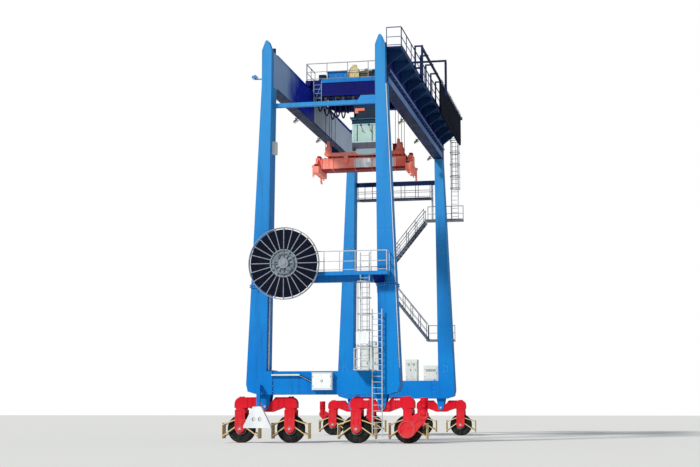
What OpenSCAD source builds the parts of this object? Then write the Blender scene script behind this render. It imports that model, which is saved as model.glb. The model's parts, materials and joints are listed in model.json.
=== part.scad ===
// Rubber tyred gantry crane: a yard crane that straddles container rows on eight steerable
// tyres, with a trolley, a hanging cab and a telescopic spreader between two portal frames.
// Millimetres. X is the travel direction, Y runs along the span away from the cable reel side,
// Z is up. The origin is on the ground under the middle of the portal.

/* [Portal] */
// Distance between the centre lines of the two portal frames
frame_spacing = 6350; // [6100:10:6700]
// Distance between the centre lines of the near and far legs
span = 23470; // [22800:10:24500]
// Depth of a leg along the span
leg_d = 1150; // [1000:10:1250]
// Width of a leg where the girder sits on it
leg_top_w = 550; // [480:10:640]
// Width of a leg at its knee above the bogie
leg_foot_w = 1120; // [1000:10:1250]
// How far the inner edge of a leg leans outward from top to foot
leg_inner_lean = 150; // [50:10:250]
// Height of the knee where the leg is widest
leg_knee_z = 3100; // [2900:10:3500]
// Height of the shoulders of the leg head
leg_shoulder_z = 21500; // [21300:10:21700]
// Height of the leg tip
leg_tip_z = 22050; // [21900:10:22300]
// Depth of the leg head beside the girder end
leg_head_d = 530; // [400:10:600]
// Width of the rounded leg tip
leg_tip_w = 210; // [160:10:300]
// Underside of the sill beams
sill_z0 = 2560; // [2540:10:2620]
// Top of the sill beams
sill_z1 = 3800; // [3600:10:3900]
// Depth of a sill beam along the span
sill_d = 1000; // [800:10:1100]
// Underside of the girders
girder_z0 = 19500; // [19300:10:19700]
// Height of a girder box
girder_h = 2000; // [1800:10:2100]
// Height of the trolley rail
rail_h = 120; // [80:5:160]
// Width of the trolley rail
rail_w = 80; // [60:5:120]
// Underside of the near upper tie
near_tie_z = 18330; // [18200:10:18500]
// Height of the near upper tie
near_tie_h = 220; // [180:10:300]
// Underside of the far upper tie
far_tie_z = 17760; // [17600:10:17900]
// Height of the far upper tie
far_tie_h = 290; // [200:10:400]
// Depth of the upper ties along the span
tie_d = 260; // [200:10:400]

/* [Bogies] */
// Distance between the two wheels of a bogie
bogie_base = 2740; // [2600:10:2900]
// Radius of a tyre
tyre_r = 745; // [700:5:760]
// Width of a tyre
tyre_w = 430; // [380:5:450]
// Radius of the rim seat
rim_r = 318; // [300:1:340]
// Radius of the axle
axle_r = 80; // [60:5:100]
// Running clearance of the axles, kingpins and pivot pins
pin_gap = 0.3; // [0.2:0.05:0.5]
// Width of an equalizer beam along the span
eq_w = 520; // [460:10:560]
// Height of the top of the equalizer ends
eq_top_z = 2430; // [2400:10:2450]
// Height of the underside of the equalizer ends
eq_under_z = 1850; // [1820:10:1900]
// Height of the bogie pivot pin
pivot_z = 1930; // [1880:10:1980]
// Radius of the bogie pivot pin
pivot_r = 90; // [70:5:110]
// Radius of a kingpin
kingpin_r = 110; // [90:5:130]
// Radius of the slewing ring under an equalizer end
slew_r = 330; // [290:10:350]
// Distance between the inner faces of the fork arms
fork_in_w = 550; // [530:10:580]
// Thickness of a fork arm
fork_t = 120; // [90:5:140]
// Width of a fork arm along the travel direction
fork_w = 450; // [380:10:500]
// Distance from the axle to a tyre guard plate
guard_x = 1000; // [930:10:1040]
// Width of a tyre guard plate along the span
guard_w = 680; // [600:10:700]
// Height of a tyre guard plate
guard_h = 800; // [600:10:850]
// Ground clearance of the tyre guards
guard_z = 230; // [200:10:300]

/* [Trolley] */
// Length of the trolley frame along the span
trolley_l = 4800; // [4400:20:5200]
// Thickness of the trolley deck
deck_t = 60; // [40:5:80]
// Depth of the trolley cross beams below the deck
cross_h = 950; // [800:10:1000]
// Width of the trolley cross beams along the span
cross_w = 420; // [300:10:500]
// Radius of a trolley wheel
trolley_wheel_r = 180; // [160:10:220]
// Width of the operator cab
cab_w = 1950; // [1700:10:2100]
// Length of the operator cab along the span
cab_l = 1750; // [1500:10:1800]
// Height of the operator cab
cab_h = 1900; // [1800:10:2100]
// Underside of the operator cab
cab_z = 17600; // [17500:10:17800]
// Radius of the hoist drum
drum_r = 360; // [300:10:400]

/* [Spreader] */
// Lengthways distance between the twistlocks in the short position
lock_x = 5853; // [5840:1:5860]
// Crossways distance between the twistlocks
lock_y = 2259; // [2240:1:2270]
// How far each spreader end slides out
spreader_stroke = 3066; // [2800:1:3100]
// Height of the spreader end faces that land on a container
landing_z = 16550; // [16400:10:16700]
// Width of the spreader main beam
main_w = 960; // [900:10:1100]
// Height of the spreader main beam
main_h = 720; // [650:10:800]
// Plate thickness of the spreader main beam
main_t = 40; // [25:5:50]
// Radius of a hoist rope
rope_r = 16; // [12:1:20]

/* [Cable reel] */
// Outer radius of the cable reel
reel_r = 1925; // [1800:5:1950]
// Radius of the open ring around the reel hub
reel_hub_r = 750; // [650:5:800]
// Height of the reel axis
reel_z = 9450; // [9400:10:9600]
// Distance of the reel axis from the middle of the crane
reel_x = 1800; // [1700:10:1900]
// Number of spokes on each side of the reel
spokes = 24; // [16:1:28]

/* [Platforms] */
// Height of the near platform deck
platform_z = 9000; // [8900:10:9100]
// Depth of the near platform in front of the legs
platform_d = 950; // [900:10:1050]
// Height of the handrails above a deck
rail_top = 1080; // [1000:10:1150]
// Thickness of handrail tubes
tube = 45; // [35:5:60]
// Height of the walkway beside the girder
walk_z = 21400; // [21200:10:21500]
// Width of the walkway beside the girder
walk_w = 900; // [750:10:950]
// Distance of the cable loop rail from the girder centre line
festoon_x = 1625; // [1550:10:1700]
// Height of the cable loop rail
festoon_z = 22550; // [22400:10:22700]

/* [Hidden] */

// Facets of a true circle, and of thin round bars
round_fn = 64;
bar_fn = 8;
// Gap between two faces that seat on each other, and between pieces that pass
seat = 0.3;
pass_gap = 5;

steel_blue = [0.10, 0.45, 0.80];
deep_blue = [0.06, 0.12, 0.55];
bogie_red = [0.85, 0.10, 0.12];
spreader_red = [0.88, 0.33, 0.25];
galvanised = [0.72, 0.75, 0.77];
pale_grey = [0.80, 0.80, 0.77];
rubber_black = [0.05, 0.05, 0.06];
guard_tan = [0.80, 0.65, 0.35];
glass_green = [0.55, 0.75, 0.65, 0.5];

leg_x = frame_spacing / 2;
leg_y = span / 2;
leg_outer_y = leg_y + leg_d / 2;
leg_inner_y = leg_y - leg_d / 2;
leg_in_top = leg_x - leg_top_w / 2;
leg_out_top = leg_x + leg_top_w / 2;
leg_in_foot = leg_in_top + leg_inner_lean;
leg_out_foot = leg_in_foot + leg_foot_w;
girder_z1 = girder_z0 + girder_h;
rail_z = girder_z1 + rail_h;
girder_end_y = leg_outer_y - leg_head_d;
stub_x = leg_in_foot - 300;
knee_drop = 380;
tip_round_z = leg_tip_z - leg_tip_w / 2;
lug_half_w = 300;
kingpin_x = bogie_base / 2;
eq_end_r = 350;
eq_mid_half = 330;
eq_mid_top_z = pivot_z + 240;
eq_mid_under_z = pivot_z - 290;
kingpin_h = 300;
crown_z0 = 1580;
slew_t = 60;
arm_out_y = fork_in_w / 2 + fork_t;
cheek_t = 60;
pin_boss_r = 190;
rim_gap = 0.3;
hub_r = 170;
hub_half = 235;

function lerp(a, b, t) = a + (b - a) * t;
// Edges of a leg at height z, between its seat and its foot
function leg_out(z) = lerp(leg_out_foot, leg_out_top, (z - leg_knee_z) / (girder_z0 - leg_knee_z));
function leg_in(z) = lerp(leg_in_foot, leg_in_top, (z - sill_z1) / (girder_z0 - sill_z1));

// Box between two corners, given as ranges
module block(x, y, z) {
  translate([x[0], y[0], z[0]])
    cube([x[1] - x[0], y[1] - y[0], z[1] - z[0]]);
}

// Outline in the XZ plane, thickened from y0 to y1
module slab_xz(y0, y1) {
  translate([0, y1, 0])
    rotate([90, 0, 0])
      linear_extrude(height = y1 - y0)
        children();
}

// Outline in the YZ plane, thickened from x0 to x1
module slab_yz(x0, x1) {
  translate([x0, 0, 0])
    rotate([90, 0, 90])
      linear_extrude(height = x1 - x0)
        children();
}

// Square bar between points a and b, always drawn towards +X
module bar(a, b, w) {
  start = a[0] <= b[0] ? a : b;
  d = a[0] <= b[0] ? b - a : a - b;
  translate(start)
    rotate([0, acos(d[2] / norm(d)), atan2(d[1], d[0])])
      translate([-w / 2, -w / 2, 0])
        cube([w, w, norm(d)]);
}

// Round bar from point a to point b
module rod(a, b, r, facets = bar_fn) {
  d = b - a;
  translate(a)
    rotate([0, acos(d[2] / norm(d)), atan2(d[1], d[0])])
      cylinder(h = norm(d), r = r, $fn = facets);
}

// Places what is drawn for the far right corner in any corner of the crane
module corner(sx, sy) {
  mirror([sx < 0 ? 1 : 0, 0, 0])
    mirror([0, sy < 0 ? 1 : 0, 0])
      children();
}

post_w = tube * 0.9;

// Handrail from point a to point b: posts, top rail, knee rail and toe board
module handrail(a, b, bays) {
  up = [0, 0, rail_top];
  kick = [0, 0, 90];
  union() {
    bar(a + up, b + up, tube);
    bar(a + up / 2, b + up / 2, tube * 0.7);
    bar(a + kick, b + kick, tube * 0.7);
    for (i = [0 : bays])
      translate(a + (b - a) * i / bays)
        translate([-post_w / 2, -post_w / 2, seat])
          cube([post_w, post_w, rail_top - seat]);
  }
}

// Ladder that stands at x, y, from z0 to z1, with rungs along X
module ladder(x, y, z0, z1, width) {
  step = 300;
  union() {
    for (s = [-1, 1])
      block([x + s * width / 2 - 25, x + s * width / 2 + 25], [y - 35, y + 35], [z0, z1]);
    for (z = [z0 + step / 2 : step : z1 - 20])
      block([x - width / 2, x + width / 2], [y - 15, y + 15], [z - 15, z + 15]);
  }
}

splice_z = [8300, 8400];

module leg_shape(splice) {
  union() {
    slab_xz(leg_inner_y, leg_outer_y)
      polygon([
        [leg_in_top, girder_z0], [leg_out_top, girder_z0], [leg_out_foot, leg_knee_z],
        [leg_out_foot - 90, leg_knee_z - knee_drop], [leg_x + lug_half_w + 60, sill_z0],
        [stub_x, sill_z0], [stub_x, sill_z1], [leg_in_foot, sill_z1]
      ]);
    slab_xz(girder_end_y, leg_outer_y)
      polygon([
        [leg_in_top, girder_z0 - 100], [leg_out_top, girder_z0 - 100],
        [leg_out_top, leg_shoulder_z], [leg_x + leg_tip_w / 2, tip_round_z],
        [leg_x - leg_tip_w / 2, tip_round_z], [leg_in_top, leg_shoulder_z]
      ]);
    slab_xz(girder_end_y, leg_outer_y)
      translate([leg_x, tip_round_z])
        circle(r = leg_tip_w / 2, $fn = round_fn);
    if (splice)
      for (z = splice_z)
        block([leg_in(z) - 70, leg_out(z) + 70], [leg_inner_y - 70, leg_outer_y + 70], [z, z + 60]);
    if (splice)
      for (x = [leg_x - 180 : 270 : leg_x + 500])
        slab_yz(x - 10, x + 10)
          polygon([
            [leg_outer_y - 1, splice_z[0] - 400], [leg_outer_y + 65, splice_z[0] + 1],
            [leg_outer_y - 1, splice_z[0] + 1]
          ]);
    pivot_lugs();
  }
}

// Two plates under the leg foot that hold the bogie pivot pin
module pivot_lugs() {
  for (s = [-1, 1]) {
    y = leg_y + s * (eq_w / 2 + pass_gap + cheek_t / 2);
    slab_xz(y - cheek_t / 2, y + cheek_t / 2)
      union() {
        polygon([
          [leg_x - lug_half_w, sill_z0 + 1], [leg_x + lug_half_w, sill_z0 + 1],
          [leg_x + pin_boss_r, pivot_z], [leg_x - pin_boss_r, pivot_z]
        ]);
        translate([leg_x, pivot_z])
          circle(r = pin_boss_r, $fn = round_fn);
      }
  }
  translate([leg_x, leg_y + eq_w / 2 + cheek_t + 40, pivot_z])
    rotate([90, 0, 0])
      cylinder(h = eq_w + 2 * cheek_t + 80, r = pivot_r, $fn = round_fn);
}

module leg(sx, sy) {
  color(steel_blue)
    corner(sx, sy)
      leg_shape(sy < 0);
}

flange_t = 40;
flange_lip = 50;

module girder(sx) {
  color(deep_blue)
    corner(sx, 1)
      union() {
        block([leg_in_top, leg_out_top], [-girder_end_y, girder_end_y], [girder_z0, girder_z1]);
        block([leg_x - rail_w / 2, leg_x + rail_w / 2], [-girder_end_y + 200, girder_end_y - 200],
          [girder_z1 - 1, rail_z]);
        for (z = [girder_z0, girder_z1 - flange_t])
          block([leg_in_top - flange_lip, leg_in_top + 1],
            [-leg_inner_y + flange_lip, leg_inner_y - flange_lip], [z, z + flange_t]);
        block([leg_out_top - 1, leg_out_top + flange_lip],
          [-leg_inner_y + flange_lip, leg_inner_y - flange_lip], [girder_z0, girder_z0 + flange_t]);
      }
}

module sill(sy) {
  color(steel_blue)
    corner(1, sy)
      block([-stub_x, stub_x], [leg_y - sill_d / 2, leg_y + sill_d / 2], [sill_z0, sill_z1]);
}

module tie(sy, z, h) {
  corner(1, sy)
    slab_xz(leg_y - tie_d / 2, leg_y + tie_d / 2)
      polygon([
        [seat - leg_in(z), z], [leg_in(z) - seat, z],
        [leg_in(z + h) - seat, z + h], [seat - leg_in(z + h), z + h]
      ]);
}

module upper_ties() {
  tie_top = near_tie_z + near_tie_h;
  haunch = 250;
  color(steel_blue) {
    union() {
      tie(-1, near_tie_z, near_tie_h);
      slab_xz(-leg_y - tie_d / 2 + 20, -leg_y + tie_d / 2 - 20)
        polygon([
          [leg_in(tie_top) - seat, tie_top - 1], [leg_in(tie_top) - 1050, tie_top - 1],
          [leg_in(tie_top) - 900, tie_top + haunch], [leg_in(tie_top + haunch) - seat, tie_top + haunch]
        ]);
    }
    tie(1, far_tie_z, far_tie_h);
  }
}

platform_front = -(leg_outer_y + platform_d);
beam_h = 430;
beam_y1 = -leg_outer_y + 400;
hatch_x = 2350;
hatch_w = 900;
hatch_y = -leg_outer_y - 30;
hatch_d = 760;

module near_platform() {
  edge_t = 60;
  deck_z0 = platform_z - 40;
  corbel_front = platform_front + edge_t + seat;
  z0 = deck_z0 - beam_h;
  z1 = deck_z0 - seat;
  deck_x = leg_out(platform_z) - 200;
  hole_x = [hatch_x - hatch_w / 2, hatch_x + hatch_w / 2];
  hole_y = [hatch_y - hatch_d, hatch_y];
  color(steel_blue) {
    // Beam between the legs
    slab_xz(-leg_outer_y + 60, beam_y1)
      polygon([
        [seat - leg_in(z0), z0], [leg_in(z0) - seat, z0],
        [leg_in(z1) - seat, z1], [seat - leg_in(z1), z1]
      ]);
    // Deck plates round the hatch
    block([-deck_x, hole_x[0] - seat], [platform_front, -leg_outer_y - seat], [deck_z0, platform_z]);
    block([hole_x[1] + seat, deck_x], [platform_front, -leg_outer_y - seat], [deck_z0, platform_z]);
    block(hole_x, [platform_front, hole_y[0]], [deck_z0, platform_z]);
    block(hole_x, [hole_y[1], -leg_outer_y - seat], [deck_z0, platform_z]);
    block([-leg_in(platform_z) + 5, leg_in(platform_z) - 5], [-leg_outer_y, beam_y1],
      [deck_z0, platform_z]);
    // Edge beams
    block([-deck_x, deck_x], [platform_front, platform_front + edge_t], [platform_z - 200, z1]);
    for (s = [-1, 1])
      block([s * (deck_x - edge_t / 2) - edge_t / 2, s * (deck_x - edge_t / 2) + edge_t / 2],
        [corbel_front, -leg_outer_y - seat], [platform_z - 200, z1]);
    // Corbels on the legs
    for (s = [-1, 1])
      slab_yz(s * (leg_x + 120) - 60, s * (leg_x + 120) + 60)
        polygon([
          [-leg_outer_y - seat, 8470], [-leg_outer_y - seat, z1],
          [corbel_front, z1], [corbel_front, platform_z - 200]
        ]);
  }
}

module near_platform_railing() {
  x1 = leg_out(platform_z) - 200 - tube;
  y0 = platform_front + tube;
  y1 = -leg_outer_y - tube;
  color(galvanised) {
    handrail([-x1, y0, platform_z], [-reel_x - 420, y0, platform_z], 2);
    handrail([-reel_x + 420, y0, platform_z], [x1, y0, platform_z], 6);
    for (s = [-1, 1])
      handrail([s * x1, y0 + 2 * tube, platform_z], [s * x1, y1, platform_z], 1);
  }
}

far_walk_z = 16960;
far_walk_y0 = leg_outer_y + 20;
far_walk_x1 = 2450;
far_walk_y1 = leg_outer_y + 950;
landing_y1 = leg_outer_y + 1150;

module far_walkway() {
  x0 = -leg_out(far_walk_z);
  x1 = far_walk_x1;
  color(galvanised) {
    block([x0, x1], [leg_outer_y, far_walk_y1], [far_walk_z - 60, far_walk_z]);
    handrail([x0 + tube, far_walk_y1 - tube, far_walk_z], [x1 - tube, far_walk_y1 - tube, far_walk_z], 6);
    handrail([-leg_in(far_walk_z) + tube, far_walk_y0 + tube, far_walk_z],
      [x1 - tube, far_walk_y0 + tube, far_walk_z], 5);
  }
}

walk_x0 = leg_out_top;
walk_x1 = leg_out_top + walk_w;
walk_near = -(leg_y + 300);
walk_far = leg_outer_y;
rail_line_x = leg_x + festoon_x;

tray_low_z = 20180;

module girder_walkway() {
  bays = 10;
  edge_t = 60;
  under_walk = walk_z - 60;
  color(deep_blue) {
    block([walk_x0, walk_x1], [walk_near, walk_far], [under_walk, walk_z]);
    block([walk_x1 - edge_t, walk_x1], [walk_near, walk_far], [walk_z - 180, under_walk - seat]);
    for (i = [0 : bays]) {
      y = lerp(-girder_end_y + 400, girder_end_y - 400, i / bays);
      slab_xz(y - 40, y + 40)
        polygon([
          [walk_x0, walk_z - 900], [walk_x1 - edge_t - seat, walk_z - 240],
          [walk_x1 - edge_t - seat, under_walk - seat], [walk_x0, under_walk - seat]
        ]);
    }
    // Cable tray along the girder under the brackets
    slab_xz(-girder_end_y + 300, girder_end_y - 300)
      polygon([
        [walk_x0 + seat, tray_low_z], [walk_x0 + 150, tray_low_z], [walk_x0 + 150, tray_low_z + 110],
        [walk_x0 + 140, tray_low_z + 110], [walk_x0 + 140, tray_low_z + 10], [walk_x0 + seat, tray_low_z + 10]
      ]);
    handrail([walk_x1 - tube, walk_near + 3 * tube, walk_z], [walk_x1 - tube, walk_far - tube, walk_z], 14);
    handrail([walk_x0 + tube, walk_near + tube, walk_z],
      [walk_x1 - tube, walk_near + tube, walk_z], 1);
  }
}

festoon_near = -7600;
festoon_far = leg_y + 200;
festoon_posts = 9;

module festoon_rail() {
  half = 60;
  end_y = [festoon_near + 10, festoon_near + 110];
  color(deep_blue) {
    block([rail_line_x - half, rail_line_x + half], [festoon_near, festoon_far],
      [festoon_z - 2 * half, festoon_z]);
    for (i = [0 : festoon_posts]) {
      y = lerp(festoon_near + 60, festoon_far - 60, i / festoon_posts);
      block([walk_x1, walk_x1 + 90], [y - 50, y + 50], [walk_z - 160, festoon_z]);
      block([walk_x1, rail_line_x + half], [y - 50, y + 50], [festoon_z + seat, festoon_z + 80]);
    }
    block([rail_line_x - half, rail_line_x + half], end_y, [walk_z - 1000, festoon_z - 2 * half - seat]);
    block([walk_x1 + 90 + seat, rail_line_x - half - seat], end_y, [walk_z - 160, walk_z - 60]);
  }
}

loop_first = 600;
loop_pitch = 620;
loops = 17;

// One hanging loop of the power cables under its carrier
module cable_loop(y) {
  drop = 2100;
  half = 230;
  translate([0, y, 0])
  slab_yz(-70, 70)
    difference() {
      union() {
        translate([-half, -drop + half])
          square([2 * half, drop - half]);
        translate([0, -drop + half])
          circle(r = half, $fn = round_fn);
      }
      union() {
        translate([-half + 110, -drop + half])
          square([2 * half - 220, drop - half - 150]);
        translate([0, -drop + half])
          circle(r = half - 110, $fn = round_fn);
      }
    }
}

module festoon_cables() {
  color(rubber_black)
    for (i = [0 : loops - 1])
      translate([rail_line_x, 0, festoon_z - 120 - seat])
        cable_loop(loop_first + i * loop_pitch);
}

lamp_z = 19980;
lamp_reach = 560;

module floodlight_arms() {
  x0 = leg_out_top + seat;
  x1 = x0 + lamp_reach;
  color(deep_blue)
    for (sy = [-1, 1])
      corner(-1, sy)
        union() {
          block([x0, x1], [leg_y - 30, leg_y + 30], [lamp_z, lamp_z + 60]);
          block([x0, x0 + 14], [leg_y - 110, leg_y + 110], [lamp_z - 80, lamp_z + 140]);
          block([x1 - 60, x1], [leg_y - 200, leg_y + 200], [lamp_z + 59, lamp_z + 90]);
          // Lamp housing that tapers to the back, tilted down
          translate([x1 - 30, leg_y, lamp_z + 90])
            rotate([0, 20, 0])
              slab_xz(-190, 190)
                polygon([[-150, 20], [150, 20], [110, 130], [-110, 130]]);
          block([x1 - 60, x1], [leg_y - 190, leg_y + 190], [lamp_z + 80, lamp_z + 150]);
        }
}

house_x = [-2500, -150];
house_z = [sill_z1, 6270];
house_y = [leg_y - sill_d / 2 - 20, leg_y + sill_d / 2 + 900];

house_front = house_y[0];

module e_house() {
  door_w = 480;
  color(pale_grey)
    union() {
      difference() {
        block(house_x, house_y, [house_z[0] + 120, house_z[1]]);
        for (i = [0 : 3])
          block([house_x[0] + 90 + i * (door_w + 75), house_x[0] + 90 + i * (door_w + 75) + door_w],
            [house_front - 1, house_front + 15], [house_z[0] + 240, house_z[1] - 220]);
        for (i = [0 : 7])
          block([house_x[0] - 1, house_x[0] + 25], [house_y[0] + 300, house_y[0] + 1100],
            [house_z[0] + 400 + i * 90, house_z[0] + 450 + i * 90]);
      }
      for (i = [0 : 3])
        block([house_x[0] + 90 + i * (door_w + 75) + door_w - 90, house_x[0] + 90 + i * (door_w + 75) + door_w - 60],
          [house_front - 20, house_front + 20], [house_z[0] + 1100, house_z[0] + 1400]);
      block([house_x[0] - 40, house_x[1] + 40], [house_y[0] - 40, house_y[1] + 40],
        [house_z[1] - 60, house_z[1] + 20]);
      block([house_x[0] + 300, house_x[0] + 1000], [house_y[0] + 400, house_y[0] + 1100],
        [house_z[1] + 19, house_z[1] + 330]);
      for (x = [house_x[0] + 100, house_x[1] - 220])
        block([x, x + 120], [house_y[0], house_y[1]], [house_z[0], house_z[0] + 130]);
    }
}

tray_z = 3560;
conduit_r = 45;

module power_cabinets() {
  sill_front = -leg_y - sill_d / 2;
  sill_box = [-480, 580];
  conduit_top = splice_z[0] - 20;
  x_top = -leg_in(conduit_top) + conduit_r + seat;
  x_low = -leg_in(sill_z1 + 40) + conduit_r + seat;
  color(pale_grey) {
    union() {
      block([700, 1530], [leg_y - 350, leg_y + 350], [sill_z1, 5290]);
      block([760, 1110], [leg_y - 365, leg_y - 349], [sill_z1 + 120, 5170]);
      block([1130, 1480], [leg_y - 365, leg_y - 349], [sill_z1 + 120, 5170]);
    }
    union() {
      block([1980, leg_in_foot - 20], [leg_y - 350, leg_y + 350], [sill_z1, 4860]);
      block([2040, leg_in_foot - 80], [leg_y - 365, leg_y - 349], [sill_z1 + 100, 4760]);
    }
    union() {
      block(sill_box, [sill_front - 320, sill_front], [2830, 3710]);
      block([sill_box[0] + 50, sill_box[1] - 50], [sill_front - 334, sill_front - 319], [2880, 3660]);
      block([sill_box[0] - 30, sill_box[1] + 30], [sill_front - 350, sill_front], [3700, 3730]);
    }
    union() {
      block([-stub_x, sill_box[0] - 720], [sill_front - 180, sill_front], [tray_z, tray_z + 12]);
      block([-stub_x, sill_box[0] - 720], [sill_front - 180, sill_front - 168], [tray_z, tray_z + 80]);
      slab_xz(sill_front - 180, sill_front)
        polygon([
          [sill_box[0] - 721, tray_z], [sill_box[0] - 721, tray_z + 12],
          [sill_box[0] - 31, 3212], [sill_box[0] - 31, 3200]
        ]);
    }
    rod([x_top, -leg_y - 300, conduit_top], [x_low, -leg_y - 300, sill_z1 + 40], conduit_r, round_fn);
    block([-leg_in(16400) + seat, -leg_in(16400) + 220], [-leg_y - 200, -leg_y + 200], [15700, 16400]);
  }
}

stair_y0 = leg_outer_y + 150;
stair_y1 = leg_outer_y + 1000;
upper_z = 15350;
middle_z = 11050;
lower_z = 6700;
flight_right_x = 2050;
flight_left_x = -1240;
tread_t = 40;

// Straight flight that stands on one landing and leans on the edge of the next one up:
// two stringers, open treads, and two rails that stop short of the top by rail_stop
module flight(x_foot, z_foot, x_top, z_top, rail_stop) {
  stringer_t = 50;
  stringer_h = 240;
  rail_sunk = 150;
  steps = round((z_top - z_foot) / 240);
  run = (x_top - x_foot) / steps;
  rise = (z_top - z_foot) / steps;
  dir = sign(x_top - x_foot);
  union() {
    for (y = [stair_y0, stair_y1 - stringer_t])
      slab_xz(y, y + stringer_t)
        polygon([
          [x_foot, z_foot + seat], [x_top - dir * seat, z_top],
          [x_top - dir * seat, z_top - stringer_h], [x_foot + run / rise * stringer_h, z_foot + seat]
        ]);
    for (i = [1 : steps - 1])
      block([x_foot + run * i - 110, x_foot + run * i + 110],
        [stair_y0 + stringer_t - 1, stair_y1 - stringer_t + 1],
        [z_foot + rise * i - 120, z_foot + rise * i - 120 + tread_t]);
  }
  for (y = [stair_y0 - post_w / 2 - seat, stair_y1 + post_w / 2 + seat])
    handrail([x_foot + run, y, z_foot + rise - rail_sunk],
      [x_top - dir * rail_stop, y, z_top - rail_stop * abs(rise / run) - rail_sunk], 5);
}

module stair_landing(x0, x1, z) {
  block([x0, x1], [leg_outer_y, landing_y1], [z - 80, z]);
  handrail([x0 + 40, landing_y1 - 40, z], [x1 - 40, landing_y1 - 40, z], 3);
}

module stair_upper() {
  color(galvanised) {
    stair_landing(flight_right_x, far_ladder_x + 500, upper_z);
    flight(flight_left_x - 200, middle_z, flight_right_x, upper_z, 120);
  }
}

module stair_lower() {
  color(galvanised) {
    stair_landing(-leg_out(middle_z), flight_left_x, middle_z);
    flight(flight_right_x + 200, lower_z, flight_left_x, middle_z, 520);
    stair_landing(flight_right_x, leg_out(lower_z), lower_z);
  }
}

front_ladder_x = 3030;
front_ladder_y = -(leg_outer_y + 250);
hoop_ladder_x = 2350;
hoop_ladder_y = hatch_y - 60;
hoop_split_z = platform_z - 440;
sill_landing_z = 3860;
sill_landing_y = -leg_y - sill_d / 2 - 900;
far_ladder_x = 4200;
far_ladder_y = walk_far + 60;
link_ladder_x = 2510;
link_ladder_y = leg_outer_y + 480;
cage_r = 350;
hoop_t = 12;
hoop_h = 50;

// Safety cage of a ladder that stands at the origin: hoops towards -Y and straps down them
module cage(z0, z1) {
  reach = 420;
  hoops = round((z1 - z0) / 850);
  ring_fn = 12;
  for (i = [0 : hoops])
    translate([0, 0, lerp(z0, z1 - hoop_h, i / hoops)])
      linear_extrude(height = hoop_h)
        difference() {
          union() {
            translate([0, -reach])
              circle(r = cage_r, $fn = ring_fn);
            translate([-cage_r, -reach])
              square([2 * cage_r, reach]);
          }
          translate([0, -reach])
            circle(r = cage_r - hoop_t, $fn = ring_fn);
          translate([hoop_t - cage_r, -reach])
            square([2 * (cage_r - hoop_t), reach - 25]);
        }
  for (a = [0 : 45 : 180])
    translate([0, -reach, 0])
      rotate([0, 0, -a])
        block([cage_r - hoop_t - 6, cage_r - hoop_t / 2], [-20, 20], [z0, z1]);
}

module ladders() {
  color(galvanised) {
    union() {
      ladder(front_ladder_x, front_ladder_y, 350, 7050, 520);
      for (z = [3200, 5000, 6600])
        for (x = [front_ladder_x - 260, front_ladder_x + 260])
          block([x - 25, x + 25], [front_ladder_y, -leg_outer_y], [z, z + 60]);
    }
    union() {
      ladder(hoop_ladder_x, hoop_ladder_y, sill_landing_z + seat, hoop_split_z - seat, 480);
      translate([hoop_ladder_x, hoop_ladder_y, 0])
        cage(5050, platform_z - 500);
    }
    ladder(hoop_ladder_x, hoop_ladder_y, hoop_split_z, platform_z + rail_top, 480);
    block([hoop_ladder_x - 500, hoop_ladder_x + 330],
      [sill_landing_y, -leg_y - sill_d / 2 + 300], [sill_z1, sill_landing_z]);
    handrail([hoop_ladder_x - 460, sill_landing_y + tube, sill_landing_z],
      [hoop_ladder_x + 290, sill_landing_y + tube, sill_landing_z], 1);
    handrail([hoop_ladder_x - 460, sill_landing_y + 4 * tube, sill_landing_z],
      [hoop_ladder_x - 460, -leg_y - sill_d / 2, sill_landing_z], 1);
    union() {
      translate([far_ladder_x, far_ladder_y, 0])
        rotate([0, 0, 180]) {
          ladder(0, 0, upper_z, walk_z + rail_top, 480);
          cage(upper_z + 2200, walk_z - 300);
        }
      for (x = [far_ladder_x - 240, far_ladder_x + 240])
        block([x - 25, x + 25], [walk_far, far_ladder_y], [walk_z - 60, walk_z - 10]);
    }
    translate([link_ladder_x, link_ladder_y, 0])
      rotate([0, 0, 90]) {
        ladder(0, 0, upper_z, far_walk_z + rail_top, 480);
        for (x = [-240, 240])
          block([x - 25, x + 25], [0, link_ladder_x - far_walk_x1], [far_walk_z - 60, far_walk_z - 10]);
      }
  }
}

hood_x = -3370;
hood_y = [-(leg_y + 1250), -(leg_y + 1000)];

module cable_guide_hood() {
  color("white")
    union() {
      slab_xz(hood_y[0], hood_y[1])
        difference() {
          polygon([
            [hood_x - 740, 800], [hood_x + 740, 800], [hood_x + 740, 900],
            [hood_x + 225, 1920], [hood_x - 225, 1920], [hood_x - 740, 900]
          ]);
          for (s = [-1, 1])
            translate([hood_x + s * 170, 1260])
              circle(r = 115, $fn = round_fn);
        }
      block([hood_x - 90, hood_x + 90], [hood_y[1] - 20, hood_y[1] + 130], [1500, 3060]);
      block([hood_x - 90, hood_x + 90], [hood_y[1], -leg_outer_y], [2900, 3060]);
    }
}

reel_y = -(leg_outer_y + platform_d + 325);
reel_half = 60;
shaft_r = 90;

module reel_stand() {
  color(galvanised) {
    translate([-reel_x + 230, 0, 0])
      motor(0, 520, platform_front + 330, platform_z + 190, 150, platform_z);
    union() {
      block([-reel_x - 220, -reel_x + 220], [platform_front + 90, platform_front + 560],
        [platform_z, reel_z - 150]);
      translate([-reel_x, platform_front + 600, reel_z])
        rotate([90, 0, 0])
          difference() {
            cylinder(h = 750, r = 260, $fn = round_fn);
            translate([0, 0, 350])
              cylinder(h = 500, r = shaft_r + pin_gap, $fn = round_fn);
          }
    }
  }
}

module reel_ring(r0, r1, half) {
  rotate([90, 0, 0])
    translate([0, 0, -half])
      linear_extrude(height = 2 * half)
        difference() {
          circle(r = r1, $fn = 96);
          circle(r = r0, $fn = 96);
        }
}

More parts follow.
